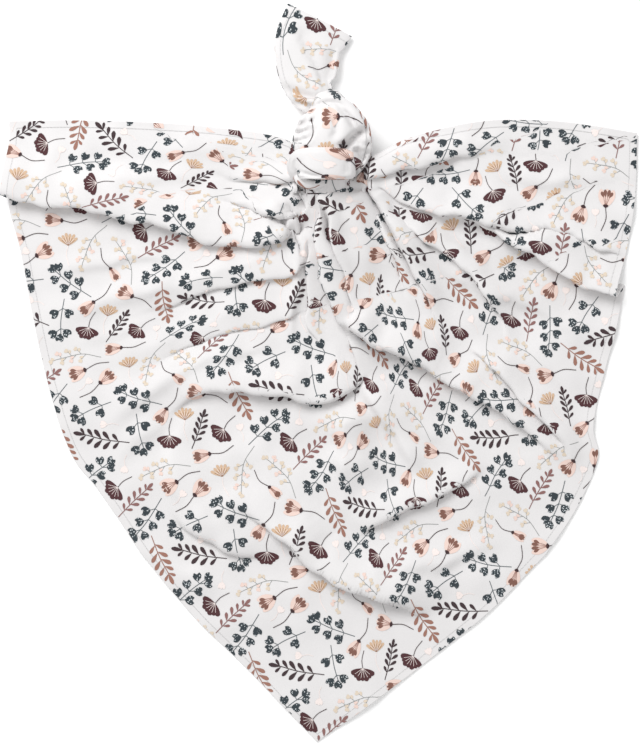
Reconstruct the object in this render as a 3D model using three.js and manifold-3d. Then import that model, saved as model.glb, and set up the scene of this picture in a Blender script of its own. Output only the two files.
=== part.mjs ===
// A square baby cloth of printed flannel, tied in one knot near a corner. The corner stands out
// above the knot as a short tail, and the rest of the square fans out below it, gathered at the
// knot and laid down in folds. It is one piece of cloth, so it is one solid.
// Millimetres, +Z up. The cloth lies on z = 0, the tail points along +Y, and the bottom corner
// along -Y.

import * as THREE from 'three';
import { mergeVertices } from 'three/addons/utils/BufferGeometryUtils.js';
import Module from 'manifold-3d';

// Driving dimensions
const CLOTH_THICK = 1.6;
const FLOOR_DIP = 0.6;
const SOFT_FOOT = 3;
const ROWS = 36;
const COLUMN_CROWD = 1.7;
const ROW_CROWD = 0.07;
const ROPE_SIDES = 16;
const ROPE_FLUTE = 0.07;

// The gathered cloth stands high at the throat and sinks to the ground farther out.
const THROAT = { x: 4, y: 200, solidInside: 22, thinOutside: 62 };
const MOUNDS = [
  { x: 4, y: 200, rise: 18, reach: 50 },
  { x: 6, y: 150, rise: 13, reach: 100 },
];

const CLOTH_COLOUR = 0xf3efee;

// The lines along which the cloth runs out from the throat, from the top left edge round to the
// top right edge. columns is how many strips lie between a line and the next one, and crowd says
// at which of the two they lie closer together.
const RAYS = [
  { ray: 'top left edge', columns: 9, crowd: 'end',
    path: [[-2, 219], [-21, 239], [-43, 251], [-80, 258], [-157, 266], [-255, 270], [-332, 269]] },
  { ray: 'left flap', columns: 14, crowd: 'start',
    path: [[-3, 209], [-12, 172], [-21, 144], [-62, 132], [-128, 140], [-203, 164], [-337, 189]] },
  { ray: 'lower left', columns: 9, crowd: 'none',
    path: [[0, 204], [-7, 148], [-21, 78], [-75, -29], [-139, -136], [-189, -195]] },
  { ray: 'middle', columns: 9, crowd: 'none',
    path: [[5, 202], [1, 142], [9, 57], [11, -82], [2, -243], [-3, -394]] },
  { ray: 'lower right', columns: 12, crowd: 'end',
    path: [[13, 202], [27, 142], [59, 67], [118, -50], [182, -147], [241, -194]] },
  { ray: 'right flap', columns: 9, crowd: 'start',
    path: [[21, 207], [45, 198], [70, 186], [112, 171], [182, 150], [257, 119], [321, 106]] },
  { ray: 'top right edge', columns: 0, crowd: 'none',
    path: [[19, 219], [39, 225], [62, 234], [89, 248], [128, 260], [187, 270], [261, 268],
      [339, 256]] },
];

// The outer edge between each of those lines and the next.
const EDGES = [
  { edge: 'left side, upper', path: [[-332, 269], [-332, 248], [-337, 217], [-337, 189]] },
  { edge: 'left side, lower',
    path: [[-337, 189], [-321, 135], [-307, 63], [-290, -14], [-266, -86], [-235, -127],
      [-189, -195]] },
  { edge: 'bottom left', path: [[-189, -195], [-135, -260], [-79, -315], [-3, -394]] },
  { edge: 'bottom right', path: [[-3, -394], [43, -362], [112, -310], [182, -254], [241, -194]] },
  { edge: 'right side, lower',
    path: [[241, -194], [275, -143], [297, -91], [292, -56], [304, 1], [318, 55], [321, 106]] },
  { edge: 'right side, upper', path: [[321, 106], [330, 142], [337, 193], [339, 256]] },
];

// The two flaps, where the cloth laps over itself. Each path runs out from the knot. over is how
// far the upper layer reaches past the path, turn the size of its turn, rise its height, and
// left and right how far that height spreads on each side of the path as one walks it.
const FLAPS = [
  { flap: 'left', over: 9, turn: 9, rise: 12, left: 10, right: 48,
    path: [[-21, 144], [-62, 132], [-128, 140], [-203, 164], [-280, 173], [-337, 187]] },
  { flap: 'right', over: 7, turn: 7, rise: 12, left: 30, right: 9,
    path: [[64, 190], [110, 176], [176, 155], [225, 133], [254, 112], [291, 97], [321, 86]] },
];

// The folds, each a ridge along its path. rise is its height, negative for a trough, and left and
// right are how far it spreads on each side of the path as one walks it. fadeIn and fadeOut are
// the shares of the path over which it comes up and dies away.
const FOLDS = [
  { fold: 'gather, upper left', rise: 7, left: 9, right: 10, fadeIn: 0.1, fadeOut: 0.7,
    path: [[-14, 205], [-70, 212], [-150, 222]] },
  { fold: 'gather, middle left', rise: 7, left: 6, right: 8, fadeIn: 0.1, fadeOut: 0.7,
    path: [[-14, 188], [-60, 176], [-130, 186]] },
  { fold: 'gather, lower left', rise: 6, left: 6, right: 8, fadeIn: 0.1, fadeOut: 0.6,
    path: [[-18, 168], [-60, 152], [-110, 158]] },
  { fold: 'top left', rise: 6, left: 20, right: 26, fadeIn: 0.3, fadeOut: 0.5,
    path: [[-60, 235], [-170, 240], [-300, 236]] },
  { fold: 'top left, lower', rise: 5, left: 12, right: 16, fadeIn: 0.3, fadeOut: 0.5,
    path: [[-110, 205], [-190, 212], [-290, 204]] },
  { fold: 'below the left flap', rise: 8, left: 8, right: 20, fadeIn: 0.1, fadeOut: 0.5,
    path: [[-14, 116], [-58, 104], [-128, 86], [-218, 50]] },
  { fold: 'left, first wrinkle', rise: 5, left: 10, right: 14, fadeIn: 0.4, fadeOut: 0.5,
    path: [[-120, 118], [-190, 124], [-250, 116], [-300, 100]] },
  { fold: 'left, lower', rise: 7, left: 8, right: 20, fadeIn: 0.1, fadeOut: 0.5,
    path: [[-14, 66], [-64, 54], [-128, 32], [-203, -2]] },
  { fold: 'left, third wrinkle', rise: 6, left: 10, right: 18, fadeIn: 0.3, fadeOut: 0.5,
    path: [[-40, 34], [-92, 24], [-150, 0], [-210, -40], [-248, -84]] },
  { fold: 'hood', rise: 13, left: 9, right: 30, fadeIn: 0.25, fadeOut: 0.35,
    path: [[58, 2], [35, -15], [-7, -29], [-57, -21], [-99, -15], [-142, -32], [-172, -62]] },
  { fold: 'belly', rise: 7, left: 30, right: 34, fadeIn: 0.4, fadeOut: 0.4,
    path: [[-113, -70], [-76, -89], [-13, -121], [30, -110]] },
  { fold: 'belly, right edge', rise: 7, left: 10, right: 22, fadeIn: 0.3, fadeOut: 0.5,
    path: [[36, -20], [57, -58], [84, -92], [92, -130]] },
  { fold: 'pouch', rise: 16, left: 40, right: 10, fadeIn: 0.35, fadeOut: 0.25,
    path: [[-164, -136], [-150, -165], [-107, -190], [-72, -197], [-35, -193], [-7, -207],
      [43, -235], [86, -250], [128, -256]] },
  { fold: 'pouch, right', rise: 9, left: 22, right: 9, fadeIn: 0.3, fadeOut: 0.4,
    path: [[38, -178], [64, -156], [114, -139], [157, -115], [186, -98]] },
  { fold: 'long right', rise: 16, left: 26, right: 9, fadeIn: 0.1, fadeOut: 0.3,
    path: [[24, 58], [36, 44], [70, 22], [118, 1], [162, -28], [205, -50], [241, -84],
      [270, -110]] },
  { fold: 'below the long right', rise: 6, left: 16, right: 12, fadeIn: 0.3, fadeOut: 0.4,
    path: [[40, 2], [82, -40], [124, -66], [188, -96]] },
  { fold: 'right, steep', rise: 8, left: 12, right: 8, fadeIn: 0.15, fadeOut: 0.4,
    path: [[62, 181], [80, 140], [100, 110], [118, 66], [136, 22]] },
  { fold: 'right, outer', rise: 9, left: 16, right: 9, fadeIn: 0.4, fadeOut: 0.2,
    path: [[66, 181], [121, 137], [166, 100], [195, 51], [217, -29], [250, -66], [268, -100]] },
  { fold: 'outer right', rise: 7, left: 18, right: 12, fadeIn: 0.3, fadeOut: 0.1,
    path: [[190, 60], [234, 10], [277, -34], [299, -77]] },
  { fold: 'under the right flap', rise: 6, left: 14, right: 22, fadeIn: 0.2, fadeOut: 0.4,
    path: [[76, 166], [127, 138], [192, 104], [270, 62]] },
  { fold: 'right roll', rise: 7, left: 12, right: 9, fadeIn: 0.2, fadeOut: 0.1,
    path: [[62, 196], [100, 183], [150, 174], [195, 163], [246, 153], [327, 124]] },
  { fold: 'wing, lower', rise: 9, left: 10, right: 12, fadeIn: 0.1, fadeOut: 0.5,
    path: [[44, 206], [95, 200], [170, 190], [299, 166]] },
  { fold: 'wing, upper', rise: 14, left: 15, right: 11, fadeIn: 0.1, fadeOut: 0.6,
    path: [[34, 218], [79, 232], [127, 240], [192, 246], [320, 236]] },
  { fold: 'middle pleat', rise: 14, left: 34, right: 7, fadeIn: 0.05, fadeOut: 0.4,
    path: [[0, 200], [-3, 168], [-3, 130], [0, 92], [9, 60], [26, 30]] },
  { fold: 'middle pleat, right', rise: 6, left: 12, right: 14, fadeIn: 0.1, fadeOut: 0.5,
    path: [[34, 196], [42, 160], [52, 124], [66, 84]] },
  { fold: 'throat, outer right', rise: 7, left: 10, right: 8, fadeIn: 0.1, fadeOut: 0.5,
    path: [[56, 192], [72, 170], [92, 142], [120, 108], [155, 70]] },
];

// The knot, as the stretches of gathered cloth that pass over and under each other. wide and high
// are the half sizes of each section, across and upright.
const KNOT = [
  { stretch: 'up out of the throat', rows: [
    { x: 11, y: 176, z: 12, wide: 24, high: 12 },
    { x: 7, y: 196, z: 17, wide: 25, high: 16 },
    { x: 6, y: 214, z: 22, wide: 26, high: 19 },
    { x: 8, y: 232, z: 25, wide: 28, high: 21 },
    { x: 11, y: 250, z: 26, wide: 28, high: 21 },
    { x: 12, y: 266, z: 24, wide: 24, high: 18 },
  ] },
  { stretch: 'crown', rows: [
    { x: 7, y: 294, z: 17, wide: 14, high: 12 },
    { x: 9, y: 286, z: 22, wide: 19, high: 17 },
    { x: 11, y: 277, z: 25, wide: 29, high: 21 },
    { x: 12, y: 266, z: 28, wide: 37, high: 25 },
    { x: 13, y: 254, z: 29, wide: 41, high: 27 },
    { x: 13, y: 243, z: 28, wide: 42, high: 27 },
    { x: 12, y: 232, z: 26, wide: 40, high: 23 },
    { x: 10, y: 222, z: 22, wide: 32, high: 18 },
  ] },
  { stretch: 'round the right side', rows: [
    { x: 18, y: 262, z: 30, wide: 14, high: 13 },
    { x: 34, y: 257, z: 29, wide: 14, high: 14 },
    { x: 42, y: 247, z: 26, wide: 12, high: 15 },
    { x: 44, y: 235, z: 21, wide: 11, high: 14 },
    { x: 38, y: 224, z: 15, wide: 11, high: 12 },
    { x: 26, y: 214, z: 11, wide: 12, high: 10 },
  ] },
  { stretch: 'band across the front', rows: [
    { x: 10, y: 210, z: 10, wide: 13, high: 9 },
    { x: -8, y: 212, z: 13, wide: 14, high: 9 },
    { x: -17, y: 216, z: 20, wide: 15.5, high: 9 },
    { x: -19, y: 220.5, z: 34, wide: 16, high: 9 },
    { x: -14, y: 221.5, z: 45, wide: 16.5, high: 9 },
    { x: -4, y: 221.5, z: 49.5, wide: 17, high: 10 },
    { x: 8, y: 221.5, z: 51, wide: 17, high: 10 },
    { x: 19, y: 221, z: 49.5, wide: 16.5, high: 9 },
    { x: 27, y: 221, z: 44, wide: 16, high: 9 },
    { x: 29, y: 221, z: 33, wide: 15, high: 9 },
    { x: 25, y: 220, z: 22, wide: 13, high: 9 },
  ] },
  { stretch: 'second wrap', rows: [
    { x: -12, y: 216, z: 18, wide: 8, high: 8 },
    { x: -20, y: 208, z: 25, wide: 7, high: 9 },
    { x: -18, y: 203, z: 30, wide: 6.5, high: 9 },
    { x: -9, y: 201, z: 33, wide: 6.5, high: 9 },
    { x: 3, y: 203, z: 31, wide: 6, high: 9 },
    { x: 13, y: 208, z: 26, wide: 6, high: 8 },
  ] },
];

// The tail, from inside the knot out to the folded corner of the cloth.
const TAIL = [
  { x: 22, y: 258, z: 26, wide: 15, high: 13 },
  { x: 15, y: 270, z: 22, wide: 15, high: 12 },
  { x: 7, y: 281, z: 18, wide: 16, high: 11 },
  { x: -3, y: 292, z: 13, wide: 20, high: 9 },
  { x: -11, y: 305, z: 9, wide: 26, high: 7 },
  { x: -13, y: 322, z: 7, wide: 32, high: 5 },
  { x: -12, y: 352, z: 5.5, wide: 36, high: 4 },
  { x: 0, y: 377, z: 4, wide: 38.5, high: 3 },
];

// Curves

function curveThrough(points) {
  const corners = points.map(([x, y]) => new THREE.Vector3(x, y, 0));
  return new THREE.CatmullRomCurve3(corners, false, 'catmullrom', 0.5);
}

function smoothStep(from, to, value) {
  const t = Math.min(1, Math.max(0, (value - from) / (to - from)));
  return t * t * (3 - 2 * t);
}

// Where a point lies beside a path: how far across it, positive on the right, and how far along.
function besidePath(samples, x, y) {
  let best = { distance: Infinity, across: 0, along: 0, nx: 0, ny: 0 };
  for (let i = 0; i < samples.length - 1; i += 1) {
    const a = samples[i];
    const b = samples[i + 1];
    const dx = b.x - a.x;
    const dy = b.y - a.y;
    const length = Math.hypot(dx, dy);
    const raw = ((x - a.x) * dx + (y - a.y) * dy) / (length * length);
    const t = Math.min(1, Math.max(0, raw));
    const ox = x - (a.x + t * dx);
    const oy = y - (a.y + t * dy);
    const distance = Math.hypot(ox, oy);
    if (distance < best.distance) {
      const nx = dy / length;
      const ny = -dx / length;
      const across = Math.sign(ox * nx + oy * ny || 1) * distance;
      best = { distance, across, along: (i + t) / (samples.length - 1), nx, ny };
    }
  }
  return best;
}

function sampled(rows) {
  return rows.map((row) => ({ ...row, samples: curveThrough(row.path).getPoints(28) }));
}

// The surface of the fanned cloth

const folds = sampled(FOLDS);
const flaps = sampled(FLAPS);

function bell(across, left, right) {
  const reach = across < 0 ? left : right;
  return Math.exp(-((across / reach) ** 2));
}

function foldRise(fold, x, y) {
  const at = besidePath(fold.samples, x, y);
  const fade = smoothStep(-0.01, fold.fadeIn, at.along)
    * (1 - smoothStep(1 - fold.fadeOut, 1.02, at.along));
  return fold.rise * fade * bell(at.across, fold.left, fold.right);
}

function moundRise(x, y) {
  let rise = 0;
  for (const mound of MOUNDS) {
    const distance = Math.hypot(x - mound.x, y - mound.y);
    rise += mound.rise * Math.exp(-((distance / mound.reach) ** 2));
  }
  return rise;
}

// A flap's height and its sideways push, which turns the cloth back under itself at the path.
function flapShift(flap, x, y) {
  const at = besidePath(flap.samples, x, y);
  const fade = smoothStep(0, 0.25, at.along);
  const upper = flap.left > flap.right ? -1 : 1;
  const out = -upper * at.across;
  const turned = 1 - smoothStep(-1.3 * flap.turn, 1.3 * flap.turn, out);
  const rise = flap.rise * fade * bell(at.across, flap.left, flap.right) * turned;
  const swing = (out / flap.turn) * Math.exp(0.5 - (out / flap.turn) ** 2 / 2);
  const push = -upper * -flap.over * fade * swing;
  return { rise: out > 0 ? flap.rise * fade * turned : rise, x: push * at.nx, y: push * at.ny };
}

// Low folds lie down on the ground, and higher ones meet it softly.
function settled(height) {
  return height > 0 ? height ** 2 / (height + SOFT_FOOT) : 0;
}

// The upper face of the cloth over a point of the plain fan.
function clothPoint(x, y) {
  let height = moundRise(x, y) - FLOOR_DIP;
  for (const fold of folds) height += foldRise(fold, x, y);
  const shift = { x: 0, y: 0, z: 0 };
  for (const flap of flaps) {
    const part = flapShift(flap, x, y);
    shift.x += part.x;
    shift.y += part.y;
    shift.z += part.rise;
  }
  return new THREE.Vector3(x + shift.x, y + shift.y, CLOTH_THICK + settled(height + shift.z));
}

// The fan as a grid

function columnShares(count, crowd) {
  const shares = [];
  for (let i = 0; i < count; i += 1) {
    const t = i / count;
    if (crowd === 'start') shares.push(t ** COLUMN_CROWD);
    else if (crowd === 'end') shares.push(1 - (1 - t) ** COLUMN_CROWD);
    else shares.push(t);
  }
  return shares;
}

// Rows lie closer together in the middle of the fan, where the folds run across it.
function rowShare(share) {
  return share + ROW_CROWD * Math.sin(2 * Math.PI * share);
}

// A strip between two rays, filled evenly between its four bounding lines.
function stripPoint(rayA, rayB, throat, edge, s, t) {
  const left = rayA.getPointAt(t);
  const right = rayB.getPointAt(t);
  const inner = throat.getPoint(s);
  const outer = edge.getPointAt(s);
  const blend = (name) => (1 - s) * left[name] + s * right[name] + (1 - t) * inner[name]
    + t * outer[name]
    - (1 - s) * ((1 - t) * throat.getPoint(0)[name] + t * edge.getPointAt(0)[name])
    - s * ((1 - t) * throat.getPoint(1)[name] + t * edge.getPointAt(1)[name]);
  return { x: blend('x'), y: blend('y') };
}

function fanGrid() {
  const rays = RAYS.map((row) => curveThrough(row.path));
  const columns = [];
  RAYS.forEach((row, i) => {
    if (i === RAYS.length - 1) return;
    const throat = new THREE.LineCurve3(rays[i].getPoint(0), rays[i + 1].getPoint(0));
    const edge = curveThrough(EDGES[i].path);
    const shares = columnShares(row.columns, row.crowd);
    if (i === RAYS.length - 2) shares.push(1);
    for (const s of shares) {
      const column = [];
      for (let j = 0; j <= ROWS; j += 1) {
        const t = rowShare(j / ROWS);
        const plain = stripPoint(rays[i], rays[i + 1], throat, edge, s, t);
        column.push(clothPoint(plain.x, plain.y));
      }
      columns.push(column);
    }
  });
  return columns;
}

function gridNormal(columns, i, j) {
  const a = columns[Math.max(0, i - 1)][j];
  const b = columns[Math.min(columns.length - 1, i + 1)][j];
  const c = columns[i][Math.max(0, j - 1)];
  const d = columns[i][Math.min(ROWS, j + 1)];
  const across = new THREE.Vector3().subVectors(b, a);
  const along = new THREE.Vector3().subVectors(d, c);
  return along.cross(across).normalize();
}

// The lower face lies one cloth thickness below the upper one, and runs down to the ground at the
// throat, where the gathers are packed solid.
function lowerPoint(columns, i, j) {
  const top = columns[i][j];
  const normal = gridNormal(columns, i, j);
  const low = top.clone().addScaledVector(normal, -CLOTH_THICK);
  low.z = Math.max(0, low.z);
  const reach = Math.hypot(top.x - THROAT.x, top.y - THROAT.y);
  const packed = 1 - smoothStep(THROAT.solidInside, THROAT.thinOutside, reach);
  low.lerp(new THREE.Vector3(top.x, top.y, 0), packed);
  return low;
}

// Meshes

function closedMesh(points, faces) {
  const geometry = new THREE.BufferGeometry();
  geometry.setAttribute('position',
    new THREE.Float32BufferAttribute(points.flatMap((p) => [p.x, p.y, p.z]), 3));
  geometry.setIndex(faces.flat());
  return geometry;
}

function fanGeometry() {
  const upper = fanGrid();
  const lower = upper.map((column, i) => column.map((_, j) => lowerPoint(upper, i, j)));
  const points = [...upper.flat(), ...lower.flat()];
  const wide = upper.length;
  const deep = ROWS + 1;
  const half = wide * deep;
  const faces = [];
  const quad = (a, b, c, d) => {
    const shorter = points[a].distanceTo(points[c]) < points[b].distanceTo(points[d]);
    if (shorter) faces.push([a, b, c], [a, c, d]);
    else faces.push([b, c, d], [b, d, a]);
  };
  for (let i = 0; i < wide - 1; i += 1) {
    for (let j = 0; j < deep - 1; j += 1) {
      const a = i * deep + j;
      quad(a, a + 1, a + deep + 1, a + deep);
      quad(half + a, half + a + deep, half + a + deep + 1, half + a + 1);
    }
    quad(i * deep, (i + 1) * deep, half + (i + 1) * deep, half + i * deep);
    const rim = i * deep + deep - 1;
    quad(rim, half + rim, half + rim + deep, rim + deep);
  }
  for (let j = 0; j < deep - 1; j += 1) {
    quad(j, half + j, half + j + 1, j + 1);
    const side = (wide - 1) * deep + j;
    quad(side, side + 1, half + side + 1, half + side);
  }
  return closedMesh(points, faces);
}

function ropeCurve(rows, key) {
  const corners = rows.map((row) => new THREE.Vector3(...key.map((name) => row[name])));
  return new THREE.CatmullRomCurve3(corners, false, 'catmullrom', 0.5);
}

// A stretch of gathered cloth: fluted rings along the path, kept off the ground below z = 0.
function ropeGeometry(rows, ringsPerRow) {
  const path = ropeCurve(rows, ['x', 'y', 'z']);
  const size = ropeCurve(rows, ['wide', 'high', 'high']);
  const rings = (rows.length - 1) * ringsPerRow;
  const points = [];
  const faces = [];
  for (let i = 0; i <= rings; i += 1) {
    const centre = path.getPoint(i / rings);
    const along = path.getTangent(i / rings);
    const across = new THREE.Vector3(along.y, -along.x, 0).normalize();
    const up = new THREE.Vector3().crossVectors(across, along).normalize();
    const half = size.getPoint(i / rings);
    for (let k = 0; k < ROPE_SIDES; k += 1) {
      const angle = (2 * Math.PI * k) / ROPE_SIDES;
      const flute = 1 + (k % 2 === 0 ? ROPE_FLUTE : -ROPE_FLUTE);
      const point = centre.clone()
        .addScaledVector(across, half.x * flute * Math.cos(angle))
        .addScaledVector(up, half.y * flute * Math.sin(angle));
      point.z = Math.max(0, point.z);
      points.push(point);
    }
  }
  for (let i = 0; i < rings; i += 1) {
    for (let k = 0; k < ROPE_SIDES; k += 1) {
      const a = i * ROPE_SIDES + k;
      const b = i * ROPE_SIDES + ((k + 1) % ROPE_SIDES);
      faces.push([a, b + ROPE_SIDES, b], [a, a + ROPE_SIDES, b + ROPE_SIDES]);
    }
  }
  const start = points.push(path.getPoint(0)) - 1;
  const end = points.push(path.getPoint(1)) - 1;
  const last = rings * ROPE_SIDES;
  for (let k = 0; k < ROPE_SIDES; k += 1) {
    const next = (k + 1) % ROPE_SIDES;
    faces.push([start, k, next], [end, last + next, last + k]);
  }
  return closedMesh(points, faces);
}

// Joining

const wasm = await Module();
wasm.setup();

function asSolid(geometry) {
  const merged = mergeVertices(geometry, 1e-4);
  const mesh = new wasm.Mesh({
    numProp: 3,
    vertProperties: new Float32Array(merged.attributes.position.array),
    triVerts: new Uint32Array(merged.index.array),
  });
  const solid = new wasm.Manifold(mesh);
  if (solid.volume() < 0) throw new Error('a solid is inside out');
  return solid;
}

function asGeometry(solid) {
  const { vertProperties, triVerts } = solid.getMesh();
  const geometry = new THREE.BufferGeometry();
  geometry.setAttribute('position', new THREE.BufferAttribute(vertProperties, 3));
  geometry.setIndex(new THREE.BufferAttribute(triVerts, 1));
  geometry.computeVertexNormals();
  return geometry;
}

// The small voids that the knot's stretches close in between them are filled.
function filled(solid) {
  const shells = solid.decompose();
  return shells.reduce((outer, shell) => (shell.volume() > outer.volume() ? shell : outer));
}

// The origin is under the middle of the laid out cloth.
function centred(geometry) {
  geometry.computeBoundingBox();
  const middle = geometry.boundingBox.getCenter(new THREE.Vector3());
  return geometry.translate(-middle.x, -middle.y, 0);
}

function clothGeometry() {
  let solid = asSolid(fanGeometry());
  for (const { rows } of KNOT) solid = solid.add(asSolid(ropeGeometry(rows, 2)));
  solid = solid.add(asSolid(ropeGeometry(TAIL, 2)));
  return centred(asGeometry(filled(solid)));
}

const cloth = new THREE.Mesh(
  clothGeometry(),
  new THREE.MeshStandardMaterial({ color: CLOTH_COLOUR, roughness: 0.95, metalness: 0 }),
);
cloth.name = 'cloth';

const group = new THREE.Group();
group.add(cloth);

export default group;
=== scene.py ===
"""A square baby cloth of printed flannel, tied in one knot near a corner and fanned out flat.

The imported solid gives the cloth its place, its outline and its main folds. This script lays the
visible cloth in its place: a fine sheet of the same outline with the folds deepened and tucked
over each other, the knot and the tail of the same cloth, the narrow turned hem, and a scatter of
sprigs, buds and fan leaves printed in true scale on the flat cloth, so that the folds bend it and
hide parts of it.
"""

import math
from collections import namedtuple

import bmesh
import bpy
import numpy as np
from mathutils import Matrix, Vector
from mathutils.bvhtree import BVHTree


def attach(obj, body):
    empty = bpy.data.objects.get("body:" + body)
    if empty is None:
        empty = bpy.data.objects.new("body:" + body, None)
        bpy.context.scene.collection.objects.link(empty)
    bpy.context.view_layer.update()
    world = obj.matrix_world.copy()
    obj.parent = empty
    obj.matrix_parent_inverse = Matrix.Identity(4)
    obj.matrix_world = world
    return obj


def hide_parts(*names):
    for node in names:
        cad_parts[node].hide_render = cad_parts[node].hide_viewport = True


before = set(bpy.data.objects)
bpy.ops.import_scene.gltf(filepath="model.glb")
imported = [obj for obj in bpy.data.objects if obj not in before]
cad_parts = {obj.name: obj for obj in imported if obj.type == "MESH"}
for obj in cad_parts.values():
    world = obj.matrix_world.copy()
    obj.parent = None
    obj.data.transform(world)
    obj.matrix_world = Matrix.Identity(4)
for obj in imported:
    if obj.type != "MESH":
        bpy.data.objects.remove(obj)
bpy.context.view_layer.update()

# The camera looks straight down from this height in metres, at so many millimetres a pixel of the
# photograph, which is so many pixels high.

CAMERA_HEIGHT = 4.0
PIXEL = 1.07
PHOTO_HIGH = 746

# The cloth, in millimetres. PART_CENTRE is the place on the plan that lies at the part's origin.

MM = 0.001
CLOTH_SIDE = 800.0
CLOTH_THICK = 1.6
SHEET_LIFT = 0.3
PART_CENTRE = (0.15, 0.42)

# The lie of the folds: how high over the ground the ripples' middle is, and how softly low folds
# settle on it. A fold comes up from a little before its path and ends a little past it, as shares
# of the path's length.

RIPPLE_BASE = 2.0
SOFT_FOOT = 3.0
FOLD_START = -0.01
FOLD_END = 1.02

# The lie of the tucks, with distances across them in turns. The upper layer's rise ends over
# TURN_SPAN on each side of the path. The folds are pressed flat by the share PINCH, most at
# PINCH_PLACE and less farther off than PINCH_REACH, and the mounds only by the power MOUND_PINCH of
# what is left. On the flat cloth a tuck opens over FLAT_OPENING turns, or over so many millimetres
# where it has died away.

TURN_SPAN = 1.3
PINCH = 0.85
PINCH_PLACE = 0.35
PINCH_REACH = 0.9
MOUND_PINCH = 0.3
FLAT_OPENING = 0.8
SOFT_OPENING = 60.0

# The ink lies this high over the cloth, and each layer and each stroke of a motif adds a little.
# Cloth that is squeezed or stretched more than this, as in a tuck, shows no print. A stroke is
# tried on each patch of cloth that it lies nearer to than NEAR_PATCH, and kept if it touches it.

INK_LIFT = 0.25
INK_LAYER = 0.1
INK_STEP = 0.003
SQUEEZED = 0.5
STRETCHED = 2.6
NEAR_PATCH = 10.0
TOUCHING = 0.01

# The finish: colours as sRGB numbers, and the sizes of the nap, the mottle and the threads

CLOTH_COLOUR = (233, 231, 231)
REVERSE_COLOUR = (222, 220, 220)
STITCH_COLOUR = (219, 217, 217)
NAP = 1.5
NAP_HIGH = 0.12
NAP_BUMP = 0.7
MOTTLE = 24.0
THREAD = 0.9
THREAD_SHARE = 0.35
SHADE_LOW = 0.93
SHADE_SPREAD = 0.07
ROUGH_LOW = 0.78
ROUGH_SPREAD = 0.2
SHEEN = 0.12
SHEEN_ROUGH = 0.5
SPECULAR = 0.25

# A wave texture has so many bands over a length of one.

WAVE_BANDS = 20 / (2 * math.pi)

# The hem, with the line of stitches that runs along it. A stitch shows where a sine along the line
# is over STITCH_GAP, and HEM_TURN gives the rows of the hem's turn as shares of its bulge and drop.

STITCH_IN = 7.5
STITCH_WIDE = 0.9
STITCH_LONG = 3.4
STITCH_GAP = -0.4
HEM_HIGH = 0.5
HEM_BUMP = 0.8
HEM_WIDE = 9.0
HEM_BULGE = 0.7
HEM_DROP = 1.3
HEM_TURN = ((0, 0), (0.7, 0.2), (1, 0.5), (0.7, 0.8), (0, 1))

# The sheet's grid: its rows, and how its rows and columns crowd together

ROWS = 176
ROW_CROWD = 0.05
COLUMN_CROWD = 1.5

# How many steps a path is followed in, and measured in, and the least length to divide by

PATH_STEPS = 28
LENGTH_STEPS = 400
TINY = 1e-9

# The gathered cloth stands high at the throat and sinks to the ground farther out.

Mound = namedtuple("Mound", "x y rise reach")
MOUNDS = (
    Mound(4, 200, 13, 55),
    Mound(6, 140, 12, 150),
    Mound(39, 219, -26, 9),
    Mound(-20, 182, -12, 5),
    Mound(-19, 156, -10, 5),
    Mound(12, 200, -8, 7),
)

# The lines along which the cloth runs out from the throat, from the top left edge round to the
# top right edge. columns is how many strips lie between a line and the next, and crowd says at
# which of the two they lie closer together.

Ray = namedtuple("Ray", "name columns crowd path")
RAYS = (
    Ray("top left edge", 34, "end",
        ((-2, 219), (-21, 239), (-43, 251), (-80, 258), (-157, 266), (-255, 270), (-332, 269))),
    Ray("left flap", 96, "start",
        ((-3, 209), (-12, 172), (-21, 144), (-62, 132), (-128, 140), (-203, 164), (-337, 189))),
    Ray("lower left", 60, "none",
        ((0, 204), (-7, 148), (-21, 78), (-75, -29), (-139, -136), (-189, -195))),
    Ray("middle", 66, "none", ((5, 202), (1, 142), (9, 57), (11, -82), (2, -243), (-3, -394))),
    Ray("lower right", 84, "end",
        ((13, 202), (27, 142), (59, 67), (118, -50), (182, -147), (241, -194))),
    Ray("right flap", 44, "start",
        ((21, 207), (45, 198), (70, 186), (112, 171), (182, 150), (257, 119), (321, 106))),
    Ray("top right edge", 0, "none",
        ((19, 219), (39, 225), (62, 234), (89, 248), (128, 260), (187, 270), (261, 268), (339, 256))),
)

# The outer edge between each of those lines and the next

Edge = namedtuple("Edge", "name path")
EDGES = (
    Edge("left side, upper", ((-332, 269), (-332, 248), (-337, 217), (-337, 189))),
    Edge("left side, lower",
         ((-337, 189), (-321, 135), (-307, 63), (-290, -14), (-266, -86), (-235, -127), (-189, -195))),
    Edge("bottom left", ((-189, -195), (-135, -260), (-79, -315), (-3, -394))),
    Edge("bottom right", ((-3, -394), (43, -362), (112, -310), (182, -254), (241, -194))),
    Edge("right side, lower",
         ((241, -194), (275, -143), (297, -91), (292, -56), (304, 1), (318, 55), (321, 106))),
    Edge("right side, upper", ((321, 106), (330, 142), (337, 193), (339, 256))),
)

# The tucks, where the cloth lies over itself. over is how far the upper layer reaches past the
# path, turn the size of its turn, rise its height, and left and right how far that height spreads
# on each side of the path as one walks it: the upper layer is on the side of the larger one.
# fade_in and fade_out are the shares of the path over which the tuck comes up and dies away. Far
# more cloth comes together in the knot than the fan shows, and it lies hidden in the tucks that run
# out from there: on the flat cloth the two sides of such a tuck spread apart by opens degrees,
# about hinge, a point at or beyond the cloth's outer edge.

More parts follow.
